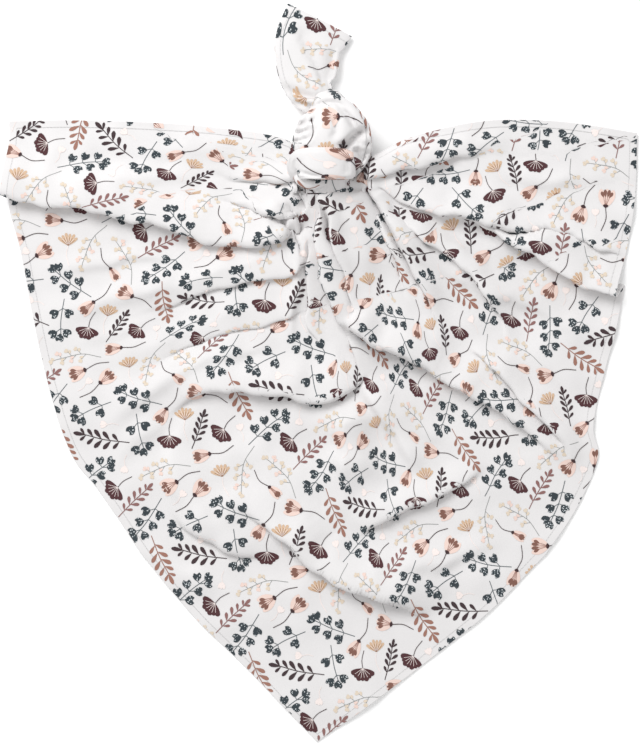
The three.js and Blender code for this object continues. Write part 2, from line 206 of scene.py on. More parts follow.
Tuck = namedtuple("Tuck", "name over turn rise left right fade_in fade_out path opens hinge",
                  defaults=(0, None))
TUCKS = (
    Tuck("top left", 7, 5, 3, 5, 14, 0.1, 0.8,
         ((-8, 206), (-44, 202), (-90, 208), (-150, 218)), opens=4, hinge=(-336, 240)),
    Tuck("top left, lower", 8, 4, 4, 5, 12, 0.1, 0.7,
         ((-12, 178), (-34, 166), (-64, 172), (-100, 186), (-130, 194)), opens=5, hinge=(-337, 212)),
    Tuck("left flap", 17, 8, 21, 7, 34, 0.1, 0,
         ((-20, 156), (-60, 142), (-128, 150), (-203, 173), (-280, 186), (-337, 198)),
         opens=15, hinge=(-450, 230)),
    Tuck("below the left flap", 10, 5, 9, 5, 20, 0.1, 0.6,
         ((-14, 116), (-58, 104), (-128, 86), (-218, 50)), opens=8, hinge=(-302, 12)),
    Tuck("left, lower", 8, 5, 5, 5, 18, 0.15, 0.6,
         ((-14, 66), (-64, 54), (-128, 32), (-203, -2)), opens=8, hinge=(-285, -45)),
    Tuck("hood", 10, 7, 16, 5, 30, 0.25, 0.35,
         ((58, 2), (35, -15), (-7, -29), (-57, -21), (-99, -15), (-142, -32), (-172, -62))),
    Tuck("pouch", 10, 9, 23, 40, 5, 0.5, 0.2,
         ((-112, -138), (-84, -150), (-56, -165), (-29, -186), (-14, -206), (43, -235), (86, -250),
          (128, -262))),
    Tuck("pouch, lower left", 6, 7, 9, 24, 5, 0.5, 0.5,
         ((-168, -130), (-150, -165), (-107, -190), (-72, -197), (-38, -196))),
    Tuck("pouch, right", 8, 6, 12, 24, 5, 0.3, 0.4,
         ((38, -178), (64, -156), (114, -139), (157, -115), (186, -98))),
    Tuck("crumple, first", 4, 2.4, 5, 3, 5, 0.3, 0.3, ((-34, 204), (-26, 194), (-16, 191), (-10, 196))),
    Tuck("crumple, second", 4, 2.4, 5, 5, 3, 0.3, 0.3,
         ((-38, 186), (-27, 188), (-19, 182), (-15, 172), (-20, 166))),
    Tuck("crumple, third", 4, 2.4, 5, 3, 5, 0.3, 0.3,
         ((-42, 170), (-31, 174), (-24, 166), (-19, 156), (-20, 144))),
    Tuck("crumple, fourth", 5, 2.6, 5, 3, 6, 0.3, 0.4,
         ((-58, 158), (-42, 160), (-30, 152), (-23, 138), (-19, 122))),
    Tuck("spine", 9, 4, 7, 16, 4, 0.05, 0.3,
         ((1, 200), (0, 160), (3, 124), (6, 94), (22, 52), (38, 16), (54, -20)),
         opens=8, hinge=(60, -350)),
    Tuck("left of the spine", 6, 3.5, 6, 10, 4, 0.4, 0.3,
         ((-10, 156), (-13, 118), (-13, 80), (-9, 44), (4, 24))),
    Tuck("middle pleat, inner edge", 4, 2.6, 4, 10, 4, 0.3, 0.4,
         ((2, 197), (13, 146), (26, 106), (36, 52))),
    Tuck("right, steep", 4, 3, 5, 14, 4, 0.1, 0.4,
         ((52, 203), (62, 181), (84, 140), (100, 104), (120, 70), (144, 15))),
    Tuck("right, short", 4, 2.6, 5, 8, 4, 0.3, 0.4, ((74, 178), (90, 160), (110, 138), (126, 122))),
    Tuck("right of the spine", 8, 5, 5, 16, 6, 0.1, 0.5,
         ((42, 200), (55, 174), (72, 140), (86, 106), (104, 66)), opens=8, hinge=(200, -240)),
    Tuck("long right", 9, 9, 22, 17, 6, 0.1, 0.3,
         ((24, 58), (36, 44), (70, 22), (118, 1), (162, -28), (205, -50), (241, -84), (270, -110)),
         opens=8, hinge=(290, -120)),
    Tuck("long right, second", 6, 4.5, 15, 18, 6, 0.5, 0.3,
         ((150, 36), (172, 14), (217, -27), (250, -64), (268, -98))),
    Tuck("right, outer", 7, 4, 11, 14, 4, 0.2, 0.5,
         ((66, 181), (121, 137), (166, 100), (192, 56), (208, 14)), opens=7, hinge=(292, -90)),
    Tuck("right flap", 16, 10, 28, 22, 8, 0.55, 0,
         ((64, 190), (110, 176), (176, 155), (225, 133), (254, 112), (291, 97), (321, 86)),
         opens=12, hinge=(430, 60)),
    Tuck("right roll", 6, 3.5, 6, 12, 4, 0.1, 0.1,
         ((62, 196), (100, 183), (150, 174), (195, 163), (246, 153), (327, 124)),
         opens=3, hinge=(336, 130)),
    Tuck("wing", 11, 5, 11, 14, 5, 0.1, 0.5,
         ((40, 212), (66, 215), (100, 222), (138, 231), (200, 236)), opens=4, hinge=(338, 235)),
)

# The main folds, each a soft ridge along its path, with the same names for its rise, its spread and
# its ends.

Fold = namedtuple("Fold", "name rise left right fade_in fade_out path")
FOLDS = (
    Fold("gather, upper left", 3, 7, 9, 0.1, 0.7, ((-14, 205), (-70, 212), (-150, 222))),
    Fold("gather, middle left", 3, 5, 8, 0.1, 0.7, ((-14, 188), (-60, 176), (-130, 186))),
    Fold("gather, lower left", 4, 4, 7, 0.1, 0.6, ((-18, 168), (-60, 152), (-110, 158))),
    Fold("top left", 5, 12, 26, 0.3, 0.5, ((-60, 235), (-170, 240), (-300, 236))),
    Fold("top left, lower", 5, 9, 14, 0.3, 0.5, ((-110, 205), (-190, 212), (-290, 204))),
    Fold("under the left flap", 6, 9, 15, 0.4, 0.4, ((-16, 126), (-97, 113), (-194, 84), (-300, 66))),
    Fold("left, first wrinkle", 5, 6, 12, 0.4, 0.5,
         ((-120, 118), (-190, 124), (-250, 116), (-300, 100))),
    Fold("left, second wrinkle", 4, 6, 12, 0.4, 0.5, ((-170, 60), (-220, 40), (-280, 30))),
    Fold("upper left", 6, 12, 20, 0.4, 0.4, ((-16, 87), (-65, 73), (-119, 55), (-183, 30), (-262, -4))),
    Fold("left, third wrinkle", 6, 8, 18, 0.3, 0.5,
         ((-40, 34), (-92, 24), (-150, 0), (-210, -40), (-248, -84))),
    Fold("left, fourth wrinkle", 4, 7, 16, 0.4, 0.5, ((-150, -46), (-196, -74), (-236, -118))),
    Fold("belly", 7, 26, 34, 0.4, 0.4, ((-113, -70), (-76, -89), (-13, -121), (30, -110))),
    Fold("belly, right edge", 14, 30, 12, 0.3, 0.4, ((22, -24), (26, -60), (30, -100), (30, -150))),
    Fold("right of the belly", 10, 18, 7, 0.2, 0.4, ((46, -8), (67, -50), (94, -84), (112, -120))),
    Fold("pouch, left roll", 9, 34, 15, 0.3, 0.4,
         ((-160, -90), (-148, -128), (-122, -158), (-84, -172), (-46, -172))),
    Fold("belly, left edge", 6, 8, 20, 0.4, 0.4,
         ((-132, -150), (-156, -110), (-150, -66), (-126, -38))),
    Fold("below the pouch, left", 5, 10, 18, 0.4, 0.5,
         ((-214, -150), (-176, -196), (-120, -226), (-70, -236))),
    Fold("below the pouch, right", 7, 20, 8, 0.4, 0.5,
         ((50, -200), (104, -206), (160, -190), (210, -176))),
    Fold("below the long right", 6, 16, 12, 0.3, 0.4, ((40, 2), (82, -40), (124, -66), (188, -96))),
    Fold("long right, start", 9, 24, 8, 0.2, 0.5, ((28, 66), (62, 40), (102, 20), (144, 0))),
    Fold("long right, crest", 3, 14, 8, 0.15, 0.3,
         ((56, 76), (104, 36), (156, 6), (202, -26), (246, -60))),
    Fold("right, steep", 5, 12, 5, 0.15, 0.4, ((62, 181), (80, 140), (100, 110), (118, 66), (136, 22))),
    Fold("outer right", 4, 18, 9, 0.3, 0.2, ((214, 40), (250, 4), (280, -34), (299, -77))),
    Fold("under the right flap", 6, 10, 22, 0.2, 0.4, ((76, 166), (127, 138), (192, 104), (270, 62))),
    Fold("right, wrinkle", 5, 12, 7, 0.3, 0.4, ((110, 120), (170, 92), (236, 66), (300, 36))),
    Fold("right roll", 6, 7, 9, 0.3, 0.1, ((85, 196), (138, 181), (192, 166), (240, 150), (328, 132))),
    Fold("wing, lower", 6, 9, 12, 0.1, 0.5, ((44, 206), (95, 200), (170, 190), (299, 166))),
    Fold("wing, upper", 9, 12, 13, 0.1, 0.6,
         ((34, 218), (79, 232), (127, 240), (192, 246), (320, 236))),
    Fold("wing, wrinkle", 5, 12, 7, 0.4, 0.4, ((180, 214), (240, 206), (320, 204))),
    Fold("middle pleat", 10, 34, 6, 0.05, 0.4,
         ((6, 200), (5, 168), (8, 130), (12, 92), (26, 52), (44, 14))),
    Fold("middle pleat, right", 5, 12, 14, 0.1, 0.5, ((34, 196), (42, 160), (52, 124), (66, 84))),
    Fold("throat, outer right", 6, 9, 5, 0.1, 0.5,
         ((56, 192), (72, 170), (92, 142), (120, 108), (155, 70))),
    Fold("left of the spine", 6, 5, 8, 0.1, 0.5, ((-12, 150), (-24, 108), (-30, 60), (-26, 20))),
)

# The small unevenness of soft cloth, as waves of these lengths, each in a direction of its own. A
# wave as long as RIPPLE_LENGTH is RIPPLE high. WANDER holds, in pairs, how far the lines of the
# folds sway to the side, and the length that sets how quickly.

RIPPLE = 0.55
RIPPLE_LENGTH = 60
RIPPLE_POWER = 0.8
RIPPLE_SWAY = 0.12
RIPPLE_LENGTHS = (150, 118, 92, 74, 61, 52, 44, 37)
RIPPLE_SEED = 7
WANDER = ((2.2, 17.0), (1.1, 7.5), (0.6, 4.3))

# The knot and the tail, as stretches of gathered cloth. x, y and z are a section's middle, wide and
# high its half sizes, and square how far its round is squared off. flutes are the creases that run
# along it: how many, how deep, and by how much of a turn they wind. reach is how far the stretch's
# two ends lie from the knotted corner on the flat cloth, and angle the direction in which its
# upper side lies from there.

Stretch = namedtuple("Stretch", "name reach angle square flutes rows")
KNOT = (
    Stretch("up out of the throat", (470, 400), 47, 0.1, (9, 0.08, 0.05),
            ((11, 176, 12, 24, 12), (7, 196, 17, 25, 16), (6, 214, 22, 26, 19), (8, 232, 25, 28, 21),
             (11, 250, 26, 28, 21), (12, 266, 24, 24, 18))),
    Stretch("crown", (250, 330), 38, 0.1, (9, 0.05, 0.04),
            ((7, 294, 17, 14, 12), (9, 286, 22, 19, 17), (11, 277, 25, 29, 21),
             (12, 266, 28, 37, 25), (13, 254, 29, 41, 27), (13, 243, 28, 42, 27),
             (12, 232, 26, 40, 23), (10, 222, 22, 32, 18))),
    Stretch("round the right side", (350, 300), 30, 0.0, (7, 0.2, 0.2),
            ((18, 262, 30, 14, 13), (34, 257, 29, 14, 14), (42, 247, 26, 12, 15),
             (44, 235, 21, 11, 14), (38, 224, 15, 11, 12), (26, 214, 11, 12, 10))),
    Stretch("band across the front", (260, 180), 52, 0.6, (6, 0.04, 0.04),
            ((10, 210, 10, 13, 9), (-8, 212, 13, 14, 9), (-17, 216, 20, 15.5, 9),
             (-19, 220.5, 34, 16, 9), (-14, 221.5, 45, 16.5, 9), (-4, 221.5, 49.5, 17, 10),
             (8, 221.5, 51, 17, 10), (19, 221, 49.5, 16.5, 9), (27, 221, 44, 16, 9),
             (29, 221, 33, 15, 9), (25, 220, 22, 13, 9))),
    Stretch("second wrap", (300, 240), 44, 0.1, (4, 0.1, 0.1),
            ((-16, 220, 14, 7, 7), (-23, 212, 24, 6, 7), (-20, 204, 31, 5.5, 7),
             (-9, 200, 34, 5.5, 7), (3, 202, 32, 5, 7), (14, 208, 27, 5, 6))),
)
TAIL = (
    (22, 258, 26, 15, 13), (15, 270, 22, 15, 12), (7, 281, 18, 16, 11), (-3, 292, 13, 20, 10),
    (-11, 305, 11, 26, 9), (-13, 322, 9.5, 32, 8), (-12, 352, 8, 36, 7), (0, 377, 5, 38.5, 4),
)
ROPE_RINGS = 44
ROPE_SIDES = 96

# The creases of the knot and the tail, each pressed deep into their upper sides along a path. left
# and right are how far it spreads on each side: a step where one layer ends on the next is steep
# on one side only. It comes up and dies away over CREASE_FADE of its path, and down the sides of
# the knot over the height CREASE_FOOT.

Crease = namedtuple("Crease", "name deep left right path")
CREASES = (
    Crease("crown, left", 8, 1.6, 5, ((-1, 290), (-10, 276), (-18, 260), (-22, 240))),
    Crease("crown, middle left", 5, 1.4, 6, ((2, 288), (-3, 272), (-6, 256), (-14, 240))),
    Crease("crown, middle", 5, 5, 1.4, ((8, 288), (14, 272), (16, 258), (10, 244))),
    Crease("crown, layer edge", 5, 1.2, 7, ((20, 284), (32, 272), (41, 259), (46, 246))),
    Crease("crown, right", 5, 8, 1.6, ((15, 284), (24, 274), (34, 262), (44, 252))),
    Crease("crown, lower edge", 15, 1.6, 9, ((18, 240), (25, 243), (33, 250), (43, 257), (54, 258))),
    Crease("hollow by the band", 12, 4, 4, ((36, 240), (41, 232), (48, 223))),
    Crease("right side, upper", 5, 2, 4, ((38, 246), (46, 243), (56, 244))),
    Crease("right side, lower", 5, 3, 2, ((40, 236), (48, 234), (56, 233))),
    Crease("ruffle, first", 8, 1.4, 2.4, ((-26, 266), (-15, 265), (-6, 270))),
    Crease("ruffle, second", 8, 1.2, 3, ((-32, 257), (-20, 256), (-10, 260))),
    Crease("ruffle, third", 7, 1.4, 2.6, ((-34, 247), (-22, 247), (-12, 250))),
    Crease("band, left, first", 3, 1.2, 2.5, ((-34, 218), (-22, 214), (-10, 209), (4, 207))),
    Crease("band, left, second", 3, 1.2, 2.5, ((-34, 228), (-24, 223), (-12, 218))),
    Crease("band, end fold", 3, 1.5, 3, ((29, 242), (30, 222), (27, 206))),
    Crease("band, lower fold", 1.6, 4, 1.4, ((-20, 210), (-8, 209), (8, 209))),
    Crease("neck", 6, 2, 4, ((-6, 284), (4, 287), (16, 287), (27, 281))),
    Crease("tail, first fold", 6, 6, 1.5, ((-46, 303), (-30, 298), (-12, 293), (4, 289))),
    Crease("tail, lower flap", 5, 1.5, 6, ((-30, 291), (-18, 287), (-4, 285))),
    Crease("tail, lengthwise", 5, 12, 2.5, ((-28, 372), (-16, 348), (-2, 322), (6, 296))),
    Crease("tail, right", 4, 2.5, 7, ((16, 352), (13, 330), (12, 306), (14, 290))),
)
CREASE_FADE = 0.25
CREASE_FOOT = 8.0

# Curves

def unit(vectors):
    """The vectors at length one."""
    return vectors / np.maximum(np.linalg.norm(vectors, axis=-1, keepdims=True), TINY)


def cross2(a, b):
    """The cross product of vectors in a plane."""
    return a[..., 0] * b[..., 1] - a[..., 1] * b[..., 0]


def curve(points, count):
    """Points along an even Catmull-Rom curve through the given ones."""
    known = np.array(points, float)
    known = np.vstack([2 * known[0] - known[1], known, 2 * known[-1] - known[-2]])
    spans = len(points) - 1
    place = np.linspace(0, spans, count + 1)
    start = np.minimum(place.astype(int), spans - 1)
    part = (place - start)[:, None]
    before, first, second, after = (known[start + k] for k in range(4))
    leave = (second - before) / 2
    reach = (after - first) / 2
    return ((2 * first - 2 * second + leave + reach) * part**3
            + (3 * second - 3 * first - 2 * leave - reach) * part**2 + leave * part + first)


def evenly(points, shares):
    """Points at the given shares of a curve's length."""
    line = curve(points, LENGTH_STEPS)
    steps = np.linalg.norm(np.diff(line, axis=0), axis=1)
    length = np.concatenate([[0], np.cumsum(steps)])
    place = np.asarray(shares) * length[-1]
    return np.stack([np.interp(place, length, line[:, k]) for k in range(line.shape[1])], axis=-1)


def smooth_step(start, end, value):
    """From 0 at the start to 1 at the end, softly."""
    t = np.clip((value - start) / (end - start), 0, 1)
    return t * t * (3 - 2 * t)


def beside(path, x, y, onward=None):
    """How far points lie across a path, positive on its right, how far along, and its normal.

    onward is a point to which the path runs on straight.
    """
    line = curve(path, PATH_STEPS)
    if onward:
        line = np.vstack([line, onward])
    best = np.full(x.shape, np.inf)
    across, along, normal_x, normal_y = (np.zeros(x.shape) for _ in range(4))
    for i, (a, b) in enumerate(zip(line[:-1], line[1:])):
        step = b - a
        length = np.hypot(*step)
        t = np.clip(((x - a[0]) * step[0] + (y - a[1]) * step[1]) / length**2, 0, 1)
        off_x = x - a[0] - t * step[0]
        off_y = y - a[1] - t * step[1]
        distance = np.hypot(off_x, off_y)
        nearer = distance < best
        side = off_x * step[1] - off_y * step[0]
        best = np.where(nearer, distance, best)
        across = np.where(nearer, np.where(side < 0, -distance, distance), across)
        along = np.where(nearer, (i + t) / (len(line) - 1), along)
        normal_x = np.where(nearer, step[1] / length, normal_x)
        normal_y = np.where(nearer, -step[0] / length, normal_y)
    return across, along, normal_x, normal_y


# The folded surface

def bell(across, left, right):
    """From 1 on a line down to 0, over its own width on each side."""
    return np.exp(-((across / np.where(across < 0, left, right)) ** 2))


def fade_along(fold, along, start=0.0):
    """How strong a fold or a tuck is along its path, where it comes up from the share start."""
    fade = smooth_step(start, fold.fade_in, along)
    if fold.fade_out:
        fade = fade * (1 - smooth_step(1 - fold.fade_out, FOLD_END, along))
    return fade


def fold_rise(fold, x, y):
    """How high a fold lifts the cloth."""
    across, along, _, _ = beside(fold.path, x, y)
    return fold.rise * fade_along(fold, along, FOLD_START) * bell(across, fold.left, fold.right)


def mound_rise(x, y):
    """How high the mounds lift the cloth."""
    return sum(m.rise * np.exp(-(np.hypot(x - m.x, y - m.y) / m.reach) ** 2)
               for m in MOUNDS)


def wander(x, y):
    """The plan with its lines made a little uneven, as cloth folds never run quite smooth."""
    shift_x = sum(high * np.sin(y / length + 0.6 * x / length + k)
                  for k, (high, length) in enumerate(WANDER))
    shift_y = sum(high * np.sin(x / length - 0.5 * y / length + 2 * k)
                  for k, (high, length) in enumerate(WANDER))
    return x + shift_x, y + shift_y


def ripple_rise(x, y):
    """Soft waves that cross each other, longer ones higher."""
    chance = np.random.default_rng(RIPPLE_SEED)
    rise = np.zeros(x.shape)
    for length in RIPPLE_LENGTHS:
        angle, start = chance.uniform(0, 2 * math.pi, 2)
        across = x * math.cos(angle) + y * math.sin(angle)
        sway = RIPPLE_SWAY * length * np.sin((x * math.sin(angle) - y * math.cos(angle)) / length)
        high = RIPPLE * (length / RIPPLE_LENGTH) ** RIPPLE_POWER
        rise += high * np.sin(2 * math.pi * (across + sway) / length + start)
    return rise


def tuck_shift(tuck, x, y):
    """A tuck's sideways push, its height, and how far it pinches the folds under it flat."""
    across, along, normal_x, normal_y = beside(tuck.path, x, y)
    fade = fade_along(tuck, along)
    upper = -1 if tuck.left > tuck.right else 1
    out = -upper * across / tuck.turn
    covered = 1 - smooth_step(-TURN_SPAN, TURN_SPAN, out)
    spread = np.where(out > 0, 1, bell(across, tuck.left, tuck.right))
    # The push is strongest one turn away from the path, on either side.
    push = upper * tuck.over * fade * out * np.exp(0.5 - out**2 / 2)
    pinch = PINCH * fade * np.exp(-(((out - PINCH_PLACE) / PINCH_REACH) ** 2))
    return push * normal_x, push * normal_y, tuck.rise * fade * covered * spread, pinch


def settled(height):
    """Low folds lie down on the ground, and higher ones meet it softly."""
    height = np.maximum(height, 0)
    return height**2 / (height + SOFT_FOOT)


def cloth_surface(x, y):
    """The cloth over points of the plain fan, in millimetres."""
    uneven_x, uneven_y = wander(x, y)
    relief = ripple_rise(x, y) + RIPPLE_BASE
    for fold in FOLDS:
        relief = relief + fold_rise(fold, uneven_x, uneven_y)
    shift_x, shift_y, open_share = np.zeros(x.shape), np.zeros(x.shape), np.ones(x.shape)
    for tuck in TUCKS:
        push_x, push_y, rise, pinch = tuck_shift(tuck, uneven_x, uneven_y)
        shift_x, shift_y, relief = shift_x + push_x, shift_y + push_y, relief + rise
        open_share = open_share * (1 - pinch)
    height = settled(mound_rise(x, y) * open_share**MOUND_PINCH + relief * open_share)
    return np.stack([x + shift_x, y + shift_y, CLOTH_THICK + height], axis=-1)


# The fan

def column_shares(count, crowd):
    """Where a strip's columns lie between its two sides, from 0 to 1."""
    t = np.arange(count) / count
    if crowd == "start":
        return t**COLUMN_CROWD
    if crowd == "end":
        return 1 - (1 - t) ** COLUMN_CROWD
    return t


def fan_plan():
    """The plain fan before its folds: rows from the throat out, and columns from left to right."""
    share = np.arange(ROWS + 1) / ROWS
    out = share + ROW_CROWD * np.sin(2 * math.pi * share)
    rays = [evenly(ray.path, out) for ray in RAYS]
    strips = []
    for i, ray in enumerate(RAYS[:-1]):
        s = column_shares(ray.columns, ray.crowd)
        # The last strip also has the column that closes it.
        if i == len(RAYS) - 2:
            s = np.append(s, 1)
        left, right = rays[i][:, None], rays[i + 1][:, None]
        edge = evenly(EDGES[i].path, s)[None]
        along, down = s[None, :, None], out[:, None, None]
        throat = (1 - along) * left[:1] + along * right[:1]
        sides = (1 - along) * left + along * right
        ends = (1 - down) * throat + down * edge
        corners = (1 - down) * throat + down * ((1 - along) * left[-1:] + along * right[-1:])
        strips.append(sides + ends - corners)
    return np.concatenate(strips, axis=1)


def flat_places(plan, points):
    """Where each point of the fan lies on the flat square, from the knotted corner at (0, 0).

    Each tuck opens about its hinge until the two top edges stand square to each other, so the
    print keeps its true scale between the tucks and jumps over the cloth hidden inside them.
    """
    place = points[..., :2]
    x, y = wander(plan[..., 0], plan[..., 1])
    for tuck in reversed([tuck for tuck in TUCKS if tuck.opens]):
        along = beside(tuck.path, x, y)[1]
        across = beside(tuck.path, x, y, tuck.hinge)[0]
        fade = np.where(along < tuck.fade_in, 1, fade_along(tuck, along)) ** 2
        width = fade * FLAT_OPENING * tuck.turn + (1 - fade) * SOFT_OPENING
        # The paths run outward, and the cloth on their left opens away from the cloth before it.
        passed = smooth_step(-1, 1, -across / width)
        angle = -math.radians(tuck.opens) * passed
        off = place - tuck.hinge
        cos, sin = np.cos(angle), np.sin(angle)
        place = np.stack([off[..., 0] * cos - off[..., 1] * sin,
                          off[..., 0] * sin + off[..., 1] * cos], axis=-1) + tuck.hinge
    corner = np.array(EDGES[0].path[0])
    return np.stack([CLOTH_SIDE + corner[0] - place[..., 0], corner[1] - place[..., 1]], axis=-1)


# The inks of the print: each one's colour, as sRGB numbers, and its layer where one lies over another

Ink = namedtuple("Ink", "colour layer")
INKS = {
    "faint blush": Ink((249, 237, 233), 2),
    "grey stem": Ink((150, 152, 150), 0),
    "slate stem": Ink((98, 106, 110), 0),
    "slate": Ink((60, 68, 73), 1),
    "aubergine": Ink((70, 56, 59), 1),
    "terracotta": Ink((162, 118, 104), 1),
    "rose": Ink((146, 107, 104), 1),
    "maroon": Ink((84, 53, 56), 1),
    "tan": Ink((217, 186, 157), 1),
    "beige": Ink((228, 213, 194), 1),
    "blush": Ink((241, 216, 206), 1),
    "crown": Ink((134, 97, 86), 2),
    "tan line": Ink((150, 110, 84), 2),
    "petal line": Ink((158, 112, 100), 3),
    "calyx": Ink((68, 50, 52), 3),
}

# The ink with pale dots, how far apart they lie, their radius as a share of that, and their colour

SPECKLED = "slate"
SPECKLE = 2.0
SPECKLE_RADIUS = 0.33
SPECKLE_COLOUR = (212, 217, 219)

# Rows and columns of the small grids that the strokes are made of

BROAD = (8, 5)
NARROW = (7, 3)
SMALL = (4, 3)
LONG_LINE = (12, 2)
SHORT_LINE = (5, 2)


def turned(angle):
    """The direction at an angle in degrees to the right of straight up."""
    return np.array([math.sin(math.radians(angle)), math.cos(math.radians(angle))])


def blade(ink, foot, angle, length, width, belly=1.0, blunt=0.0, notch=0.0, size=NARROW):
    """A leaf or petal, from its foot along its angle.

    belly over 1 makes it widest near its tip, blunt leaves its tip broad, and notch draws the
    middle of the tip in, or pushes it out if it is negative.
    """
    t = (1 - np.cos(np.linspace(0, math.pi, size[0])))[:, None] / 2
    s = np.linspace(-1, 1, size[1])[None]
    along = length * t * (1 - notch * (1 - np.abs(s) ** 1.5) * t**3)
    across = width / 2 * s * np.sin(math.pi * (1 - blunt) * t**belly) ** 0.6
    up, right = turned(angle), turned(angle + 90)
    return ink, np.asarray(foot) + along[..., None] * up + across[..., None] * right


def ribbon(ink, points, width, size=LONG_LINE):
    """A stem or vein of even width, as a ribbon along a curve."""
    centre = evenly(points, np.linspace(0, 1, size[0]))
    along = unit(np.gradient(centre, axis=0))
    side = np.stack([along[:, 1], -along[:, 0]], axis=1) * width / 2
    return ink, np.stack([centre - side, centre + side], axis=1)


def paddle_sprig(ink, length, pairs, leaf, spread, bend):
    """A branch with pairs of paddle-shaped leaves and one at its tip."""
    stem = ((0, 0), (bend * 0.3, length * 0.45), (bend, length * 0.84))
    places = evenly(stem, np.linspace(0.22, 0.97, pairs))
    strokes = [ribbon(ink, stem, 0.9)]
    for k, foot in enumerate(places):
        size = leaf * (1 - 0.3 * abs(2 * k / (pairs - 1) - 0.8))
        lean = math.degrees(math.atan2(bend, length)) * k / pairs
        strokes.append(blade(ink, foot, lean - spread, size, 0.36 * size, 1.9))
        strokes.append(blade(ink, foot + (0, 1.2), lean + spread, size, 0.36 * size, 1.9))
    strokes.append(blade(ink, places[-1], 1.4 * lean, leaf, 0.33 * leaf, 1.7))
    return strokes


def round_sprig(length, pairs, leaf, bend):
    """A branch with pairs of broad notched leaves."""
    stem = ((0, 0), (bend * 0.3, length * 0.5), (bend, length * 0.84))
    places = evenly(stem, np.linspace(0.28, 0.86, pairs))
    strokes = [ribbon("slate stem", stem, 0.8)]
    for k, foot in enumerate(places):
        size = leaf * (1 - 0.05 * k)
        for side in (-1, 1):
            twig = foot + 0.4 * size * turned(side * 60) + (0, side * 1.5)
            strokes.append(ribbon("slate stem", (foot, twig), 0.7, SHORT_LINE))
            strokes.append(blade("slate", twig, side * 50, size, size, 1.2, 0.12, 0.2, BROAD))
    strokes.append(blade("slate", stem[-1], 4, 0.9 * leaf, 0.9 * leaf, 1.2, 0.12, 0.2, BROAD))
    return strokes


def bud(length, head, width, bend, open_share):
    """A tulip-like bud: pale petals with thin lines, a brown crown, a dark cup and a bent stem."""
    top = length - head
    stem = ((0, 0), (bend, top * 0.5), (bend * 0.6, top))
    neck = np.array(stem[-1])
    strokes = [ribbon("calyx", stem, 0.75)]
    for angle in (-1, 1, 0):
        lean = angle * 15 * open_share
        foot = neck + (angle * 0.12 * width, 0.8)
        strokes.append(blade("blush", foot, lean, head * 0.95, width * 0.6, 1.1, size=BROAD))
    for angle in (-26, -9, 10, 27):
        foot = neck + 0.5 * head * turned(0.55 * angle * open_share)
        reach = head * (0.45 if abs(angle) < 12 else 0.37)
        strokes.append(blade("crown", foot, 0.9 * angle * open_share, reach, width * 0.27, 1.6))
    for angle in (-20, -7, 8, 21):
        foot = neck + 1.5 * turned(angle)
        tip = neck + head * 0.66 * turned(0.75 * angle * open_share)
        strokes.append(ribbon("petal line", (foot, tip), 0.45, SHORT_LINE))
    strokes.append(blade("calyx", neck - (0, 0.9), 0, 3.6, 0.42 * width, 1.3, 0.1))
    return strokes


def fan_leaf(ink, stalk, head, lobes, spread, stem_ink, bend, full):
    """A fan of lobes on a thin stalk, with pale veins between them.

    full is a lobe's width as a share of its part of the fan.
    """
    stem = ((0, 0), (bend, stalk * 0.55), (bend * 0.4, stalk))
    strokes = [ribbon(stem_ink, stem, 0.7)]
    for k in range(lobes):
        angle = spread * (k / (lobes - 1) - 0.5)
        reach = head * (1 - 0.07 * (k % 2))
        wide = full * reach * math.radians(spread) / lobes
        strokes.append(blade(ink, stem[-1], angle, reach, wide, 1.5, 0.25, -0.08))
        if k:
            vein = np.array(stem[-1]) + 0.8 * reach * turned(angle - spread / (lobes - 1) / 2)
            strokes.append(ribbon("faint blush", (stem[-1], vein), 0.4, SHORT_LINE))
    return strokes


def ray_head(stalk, head, rays, spread, bend):
    """A tan head of thin petals with darker lines, on a very thin stalk."""
    strokes = fan_leaf("tan", stalk, head, rays, spread, "faint blush", bend, 0.9)
    top = np.array((bend * 0.4, stalk))
    for k in range(rays):
        angle = spread * (k / (rays - 1) - 0.5)
        strokes.append(ribbon("tan line", (top, top + 0.7 * head * turned(angle)), 0.4, SHORT_LINE))
    return strokes


def berry_spray(length, twigs, bend):
    """A thin grey branch with small pale berries in twos and threes."""
    stem = ((0, 0), (bend, length * 0.4), (bend * 0.2, length * 0.9))
    places = evenly(stem, np.linspace(0.35, 1, twigs))
    strokes = [ribbon("grey stem", stem, 0.6)]
    for k, foot in enumerate(places):
        side = 1 if k % 2 else -1
        lean = side * (48 - 30 * (k == twigs - 1))
        reach = 8.5 - 0.5 * k
        tip = foot + reach * turned(lean)
        strokes.append(ribbon("grey stem", (foot, tip), 0.5, SHORT_LINE))
        for angle in (-32, 4, 40):
            berry = "blush" if (k + angle) % 3 == 0 else "beige"
            foot_of = foot + (0.45 if angle > 20 else 0.85) * reach * turned(lean)
            strokes.append(blade(berry, foot_of, lean + angle, 4.8, 3.4, 1.3, size=SMALL))
    return strokes


def faint_bloom(head):
    """A bloom so pale that it hardly shows."""
    strokes = [ribbon("faint blush", ((0, 0), (1.5, 6), (0, 12)), 0.6)]
    for angle in (-24, 0, 24):
        strokes.append(blade("faint blush", (0, 12), angle, head, head * 0.5, 1.4))
    return strokes


